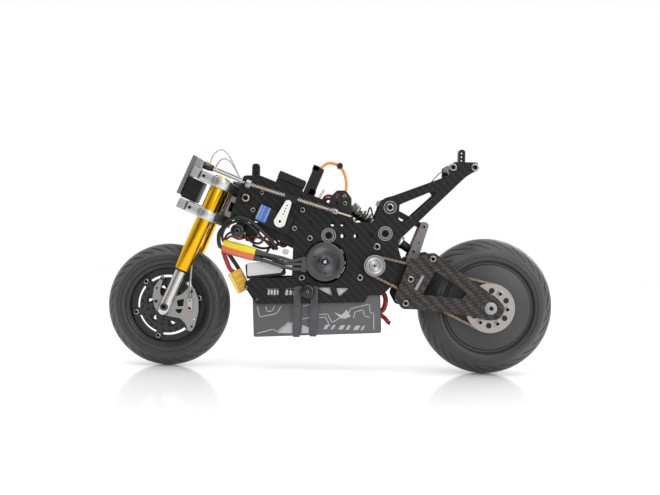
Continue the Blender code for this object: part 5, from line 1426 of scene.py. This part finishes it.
def swing_arm():
    for side, sign in SIDES:
        holes = [circle(p, 1.8, 16) for p in ARM_BOLTS]
        holes += [rounded(ARM_WINDOW, 4), rounded(ARM_SLOT, 4), circle(REAR_AXLE, 2.4, 24)]
        plate = look_of(f"swing_arm_plate_{side}", "swing_arm")
        plate.add(slab([rounded(ARM_OUTLINE, 7), *holes], *mirrored(-ARM_OUT, -ARM_IN, sign), 0.3),
            "arm_carbon")
        plate.add(slab([rounded(ARM_SLOT, 4)], *mirrored(-29, -28, sign), 0.1), "cap_grey").done()
    block = look_of("swing_arm_block", "swing_arm")
    body = [(36.3, 107.5, 9), (54, 100.5, 6), (70, 95.2, 2), (73.5, 88, 3), (70.5, 76, 4), (68.6, 62, 4)]
    body += [(64.1, 58.9, 4), (59.8, 62.5, 4), (60.5, 74, 5), (50, 82.5, 6), (33, 83, 9), (23, 95.3, 9)]
    block.add(slab([rounded(body, 5), circle(JACKSHAFT, 5.4, 30)], -19.6, 19.6, 0.8), "black")
    neck = [(56, 95, 1), (64, 103, 3), (71, 105.3, 3), (74.6, 101.4, 3), (73.5, 92, 2), (60, 90, 1)]
    block.add(slab([rounded(neck, 5), circle(LINK_PIVOT, 1.9, 20)], -7.6, 7.6, 0.6), "black")
    web = [(66, 90, 0.3), (66, 94.5, 0.3), (76.5, 97.3, 1), (85, 105, 2), (89, 103, 2),
        (82, 96, 2), (73.5, 90, 0.3)]
    block.add(slab([rounded(web, 4)], -7, 7, 0.5), "black")
    for centre in ARM_BOLTS:
        block.add(pin(centre, 2.9, -27.2, 27.2, 24, 0.2), "matt_silver")
        for side in (-1, 1):
            block.bolt(centre, side * ARM_OUT, side, 3.2, 1.9)
    block.done()
    axle = look_of("rear_axle", "swing_arm")
    axle.add(pin(REAR_AXLE, 2.1, -30.2, 30.2, 24), "steel")
    for side in (-1, 1):
        profile = [(0, 0), (5.4, 0), (5.4, 0.5), (5, 0.8), (3.9, 0.8), (3.9, 1.6), (3.4, 1.8),
            (2.2, 1.8), (2, 1.2), (0, 1.2)]
        axle.add(lathe(profile, at_y(REAR_AXLE, side * ARM_OUT), (0, side, 0), 36, 0.12), "cap_grey")
        axle.bolt(REAR_AXLE, side * (ARM_OUT + 1), side, 2.1, 0.9, "dark_metal")
    axle.done()


def loop_round(first, r1, second, r2, pitch):
    """Points a pitch apart along a band that runs round two circles."""
    a, b = Vector(first), Vector(second)
    gap = (b - a).length
    line = math.atan2(b.y - a.y, b.x - a.x)
    lean = math.acos((r1 - r2) / gap)
    path = []
    for k in range(81):
        angle = line + lean + (2 * math.pi - 2 * lean) * k / 80
        path.append(a + Vector((math.cos(angle), math.sin(angle))) * r1)
    for k in range(81):
        angle = line - lean + 2 * lean * k / 80
        path.append(b + Vector((math.cos(angle), math.sin(angle))) * r2)
    path.append(path[0])
    total = sum((q - p).length for p, q in zip(path, path[1:]))
    count = round(total / pitch / 2) * 2
    step = total / count
    found, need = [], 0.0
    for p, q in zip(path, path[1:]):
        length = (q - p).length
        while need < length and len(found) < count:
            found.append(p + (q - p) * (need / max(length, 1e-9)))
            need += step
        need -= length
    return found


def chain():
    piece = look_of("drive_chain", "swing_arm")
    plate = [
        (-1, -0.9), (0.6, -1.25), (1.75, -0.75), (2.9, -1.25), (4.5, -0.9), (4.9, 0),
        (4.5, 0.9), (2.9, 1.25), (1.75, 0.75), (0.6, 1.25), (-1, 0.9), (-1.4, 0),
    ]
    roller = [(0, -26.1), (0.5, -26.1), (0.5, -25.2), (0.85, -25.2)]
    roller += [(0.85, -23.8), (0.5, -23.8), (0.5, -22.9), (0, -22.9)]
    radius = [CHAIN_PITCH / (2 * math.sin(math.pi / count)) for count in TEETH.values()]
    pins = loop_round(JACKSHAFT, radius[0], REAR_AXLE, radius[1], CHAIN_PITCH)
    for k, (a, b) in enumerate(zip(pins, pins[1:] + pins[:1])):
        u, v = heading(a, b)
        shape = [a + u * x + v * y for x, y in plate]
        far = 1.5 if k % 2 else 1.0
        for y in (CHAIN_Y - far, CHAIN_Y + far - 0.45):
            piece.add(slab([shape], y, y + 0.45, 0.08), "chain")
        piece.add(turned(roller, a, 10, 0), "chain")
    piece.done()


def belt():
    piece = look_of("drive_belt")
    outer = loop_round(MOTOR, 9.5, JACKSHAFT, 20.9, 1)
    inner = loop_round(MOTOR, 7.95, JACKSHAFT, 19.35, 1)
    piece.add(slab([outer, inner], 24, 26.2, 0.1), "belt")
    for a, b in zip(inner[::3], inner[1::3]):
        v = heading(a, b)[1]
        tooth = [a + v * 0.2, b + v * 0.2, b - v * 0.3, a - v * 0.3]
        piece.add(slab([tooth], 24.2, 26, 0.05), "belt")
    piece.done()


def jackshaft():
    piece = look_of("jackshaft", "jackshaft")
    profile = [(0, -27.4), (8.9, -27.4), (8.9, -26.8), (4.6, -26.6), (4.9, -26), (4.9, 22.8), (0, 22.8)]
    piece.add(turned(profile, JACKSHAFT, 56, 0.15), "dark_metal")
    bands = [(8.5, 9.3, 0.9, "cap_grey"), (8, 8.5, 0.4, "dark_metal"), (7.3, 8, 0.9, "matt_silver")]
    bands += [(5, 7.3, 0.7, "shaft_disc"), (4.6, 5, 0.4, "dark_metal"), (0.01, 4.6, 0.8, "shaft_disc")]
    rings(piece, JACKSHAFT, -27.4, -1, *bands)
    piece.bolt(JACKSHAFT, -28.1, -1, 1.6, 0.5)
    teeth = []
    for k in range(TEETH["jackshaft"]):
        teeth += [polar(JACKSHAFT, r, 24 * (k + f))
            for r, f in ((6.4, 0), (6.6, 0.25), (8.9, 0.42), (8.9, 0.58), (6.6, 0.75))]
    piece.add(slab([teeth], -25.3, -23.7, 0.15), "matt_silver")
    pulley = [(0, 22.8), (20.2, 22.8), (20.2, 23.7), (19, 23.8), (19, 26.4), (20.2, 26.5), (20.2, 27),
        (16, 27), (15.6, 26.2), (7, 26.2), (6.6, 27), (0, 27)]
    piece.add(turned(pulley, JACKSHAFT, 64, 0.15), "matt_silver")
    for k in range(6):
        piece.add(washer(polar(JACKSHAFT, 11.3, 60 * k), 26.1, 1, 3, 2, 0.3), "black")
    piece.done()


# ---------------------------------------------------------------- rear suspension

LINK_PIVOT = (70.9, 101.4)
LINK_TOP = (80.8, 130.9)
SHOCK_TOP = (8.9, 149.3)
SHOCK_BOTTOM = (72.2, 108.5)


def shock():
    top, bottom = at_y(SHOCK_TOP), at_y(SHOCK_BOTTOM)
    axis = (bottom - top).normalized()
    body = look_of("shock_body", "shock_body")
    profile = [(0, 2), (3.4, 2), (3.4, 7), (6.6, 7.3), (7.2, 8), (7.2, 10), (6.8, 10.4), (4.5, 10.5),
        (4.5, 43.4), (3.8, 44), (1.9, 44), (0, 44)]
    body.add(lathe(profile, top, axis, 44, 0.2), "dark_metal")
    body.add(pipe(SHOCK_TOP, 1.9, 3.6, -4, 4, 32, 0.3), "black")
    for k in range(6):
        t = 13 + 5 * k
        profile = [(4.4, t), (4.9, t + 0.3), (4.9, t + 1.2), (4.4, t + 1.5)]
        body.add(lathe(profile, top, axis, 36, 0, ring=True), "dark_metal")
    body.done()
    spring = look_of("shock_spring", "shock_body")
    wire = spring.add(coil(top + axis * 10.6, top + axis * 58.8, 6.1, 1.05, 9.5, 10, 26), "spring").done(60)
    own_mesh(wire)
    shaft = look_of("shock_shaft", "shock_shaft")
    shaft.add(pin_along(1.5, 22, 59.2, top, axis, 24, 0.1), "bright_steel")
    profile = [(0, 59), (6.4, 59), (7, 59.6), (7, 62), (6.4, 62.6), (0, 62.6)]
    shaft.add(lathe(profile, top, axis, 44, 0.2), "silver")
    profile = [(0, 62.4), (5, 62.4), (4.4, 64.2), (4, 66), (4, 71.5), (3.4, 72.4), (0, 72.5)]
    shaft.add(lathe(profile, top, axis, 36, 0.2), "black")
    shaft.add(pipe(SHOCK_BOTTOM, 2, 3.1, -4, 4, 28, 0.3), "black")
    shaft.done()


def link_and_tie():
    a, b = Vector(LINK_PIVOT), Vector(LINK_TOP)
    u, v = heading(a, b)
    corners = [a - u * 5 - v * 5.2, b + u * 4.4 - v * 3.6, b + u * 4.4 + v * 3.6, a - u * 5 + v * 5.2]
    outline = rounded([(c.x, c.y, 3.6) for c in corners], 7)
    hole = a + u * 11.5 + Vector((1.6, 4))
    link = look_of("shock_link", "shock_link")
    for sign in (-1, 1):
        link.add(slab([outline, circle(hole, 1.2, 18)], *mirrored(-10, -8, sign), 0.35), "link_grey")
        for point in (LINK_PIVOT, LINK_TOP, SHOCK_BOTTOM):
            link.cap(point, sign * 9.9, sign, 2.2, 0.6, look="link_grey")
    for point in (LINK_PIVOT, LINK_TOP, SHOCK_BOTTOM):
        link.add(pin(point, 1.6, -9.8, 9.8, 20), "steel")
    link.done()
    tie = look_of("tie_rod", "tie_rod")
    c = Vector(TIE_PIVOT)
    n = heading(c, b)[1] * 2.6
    tie.add(slab([[(c + n), (b + n), (b - n), (c - n)]], -2.6, 2.6, 0.5), "black")
    tie.add(pipe(LINK_TOP, 2, 4.2, -4, 4, 32, 0.3), "black")
    tie.add(pin(TIE_PIVOT, 3, -22.6, 22.6, 28), "steel")
    for sign in (-1, 1):
        base = (TIE_PIVOT[0], sign * PLATE_OUT, TIE_PIVOT[1])
        rings(tie, TIE_PIVOT, base[1], sign, (5.1, 5.7, 0.9, "cap_grey"), (4, 5.1, 0.5, "dark_metal"))
        tie.bolt(TIE_PIVOT, sign * (PLATE_OUT + 0.4), sign, 3.8, 1.5)
    tie.done()


# ---------------------------------------------------------------- steering linkage

ROD_Y = -27.0
ROD_START = Vector((-78.5, ROD_Y, 163.9))
ROD_END = Vector((14.5, ROD_Y, 137.5))
ROD_WAY = (ROD_END - ROD_START).normalized()


def steering():
    a, b = Vector(HORN_PIVOT), Vector(HORN_TIP)
    u = (b - a).normalized()
    angle = math.degrees(math.atan2(u.y, u.x))
    outline = [polar(a, 5.2, angle + 100 + 8 * k)
        for k in range(21)] + [polar(b, 3, angle - 85 + 17 * k) for k in range(11)]
    holes = [circle(a + u * d, 0.6, 12) for d in (7, 9.7, 12.4, 15.1)] + [circle(a, 1.2, 16)]
    horn = look_of("servo_horn", "servo_horn")
    horn.add(slab([outline, *holes], -31.5, -29.9, 0.3), "white")
    profile = [(1.2, -31.9), (3.2, -31.9), (3.4, -31.5), (3.4, -31.2), (1.2, -31.2)]
    horn.add(turned(profile, HORN_PIVOT, 28, 0.1, ring=True), "white")
    horn.bolt(HORN_PIVOT, -31, -1, 1.9, 0.8)
    horn.done()
    rod = look_of("steering_rod", "steering_slider")
    length = (ROD_END - ROD_START).length
    profile = [(0.8, 0), (3.2, 0), (3.8, 1), (3.8, 4), (3, 5.2), (0.8, 5.2)]
    rod.add(lathe(profile, ROD_START, ROD_WAY, 32, 0.2, ring=True), "matt_silver")
    rod.add(pin_along(0.9, 1, length, ROD_START, ROD_WAY, 20, 0.2), "brass")
    collar = [(0.8, 79.8), (2.3, 79.8), (2.5, 80.1), (2.5, 83.7), (2.3, 84), (0.8, 84)]
    rod.add(lathe(collar, ROD_START, ROD_WAY, 32, 0, ring=True), "matt_silver")
    where = ROD_START + ROD_WAY * 81.9
    rod.cap((where.x, where.z), -29.2, -1, 0.9, 0.5, look="dark_metal")
    middle = ROD_START + ROD_WAY * 41.6
    tilt = math.degrees(math.atan2(ROD_WAY.z, ROD_WAY.x))
    rod.add(box((11.6, 4.8, 7), (middle.x - 0.3, ROD_Y, middle.z - 1.2), tilt, 1, 0.5), "black")
    rod.done()
    for place, t0, t1 in (("front", 5.5, 35.5), ("rear", 47.8, 79.4)):
        spring = look_of(f"steering_spring_{place}", "steering_slider")
        spring.add(coil(ROD_START + ROD_WAY * t0, ROD_START + ROD_WAY * t1, 1.8, 0.38, 15, 8, 16),
            "matt_silver").done(60)
    link = look_of("steering_link", "steering_link")
    start = ROD_START - ROD_WAY * 0.6
    end = Vector((-113.5, ROD_Y, 177.1))
    way = (end - start).normalized()
    far = (end - start).length
    link.add(pin_along(1, 0.6, far - 6, start, way, 20, 0.1), "matt_silver")
    profile = [(0, far - 7), (1.6, far - 7), (2, far - 5), (2.4, far - 2.6), (2.4, far + 2),
        (1.8, far + 2.6), (0, far + 2.6)]
    link.add(lathe(profile, start, way, 32, 0.2), "black")
    link.add(pin_along(0.8, 4, far - 9, start + Vector((0.8, 3.6, 2.2)), way, 16, 0.1), "matt_silver")
    link.done()


def build_all():
    for build in (
        frame_plates, frame_parts, body_posts, frame_bearings, shock_mount, servo, receiver,
        speed_controller, motor, motor_leads, battery, leads, strap, clamps, fork_tubes, nose, brake,
        front_wheel, rear_wheel, swing_arm, chain, belt, jackshaft, shock, link_and_tie, steering,
    ):
        build()


make_camera()
make_world()
make_stage()
build_all()
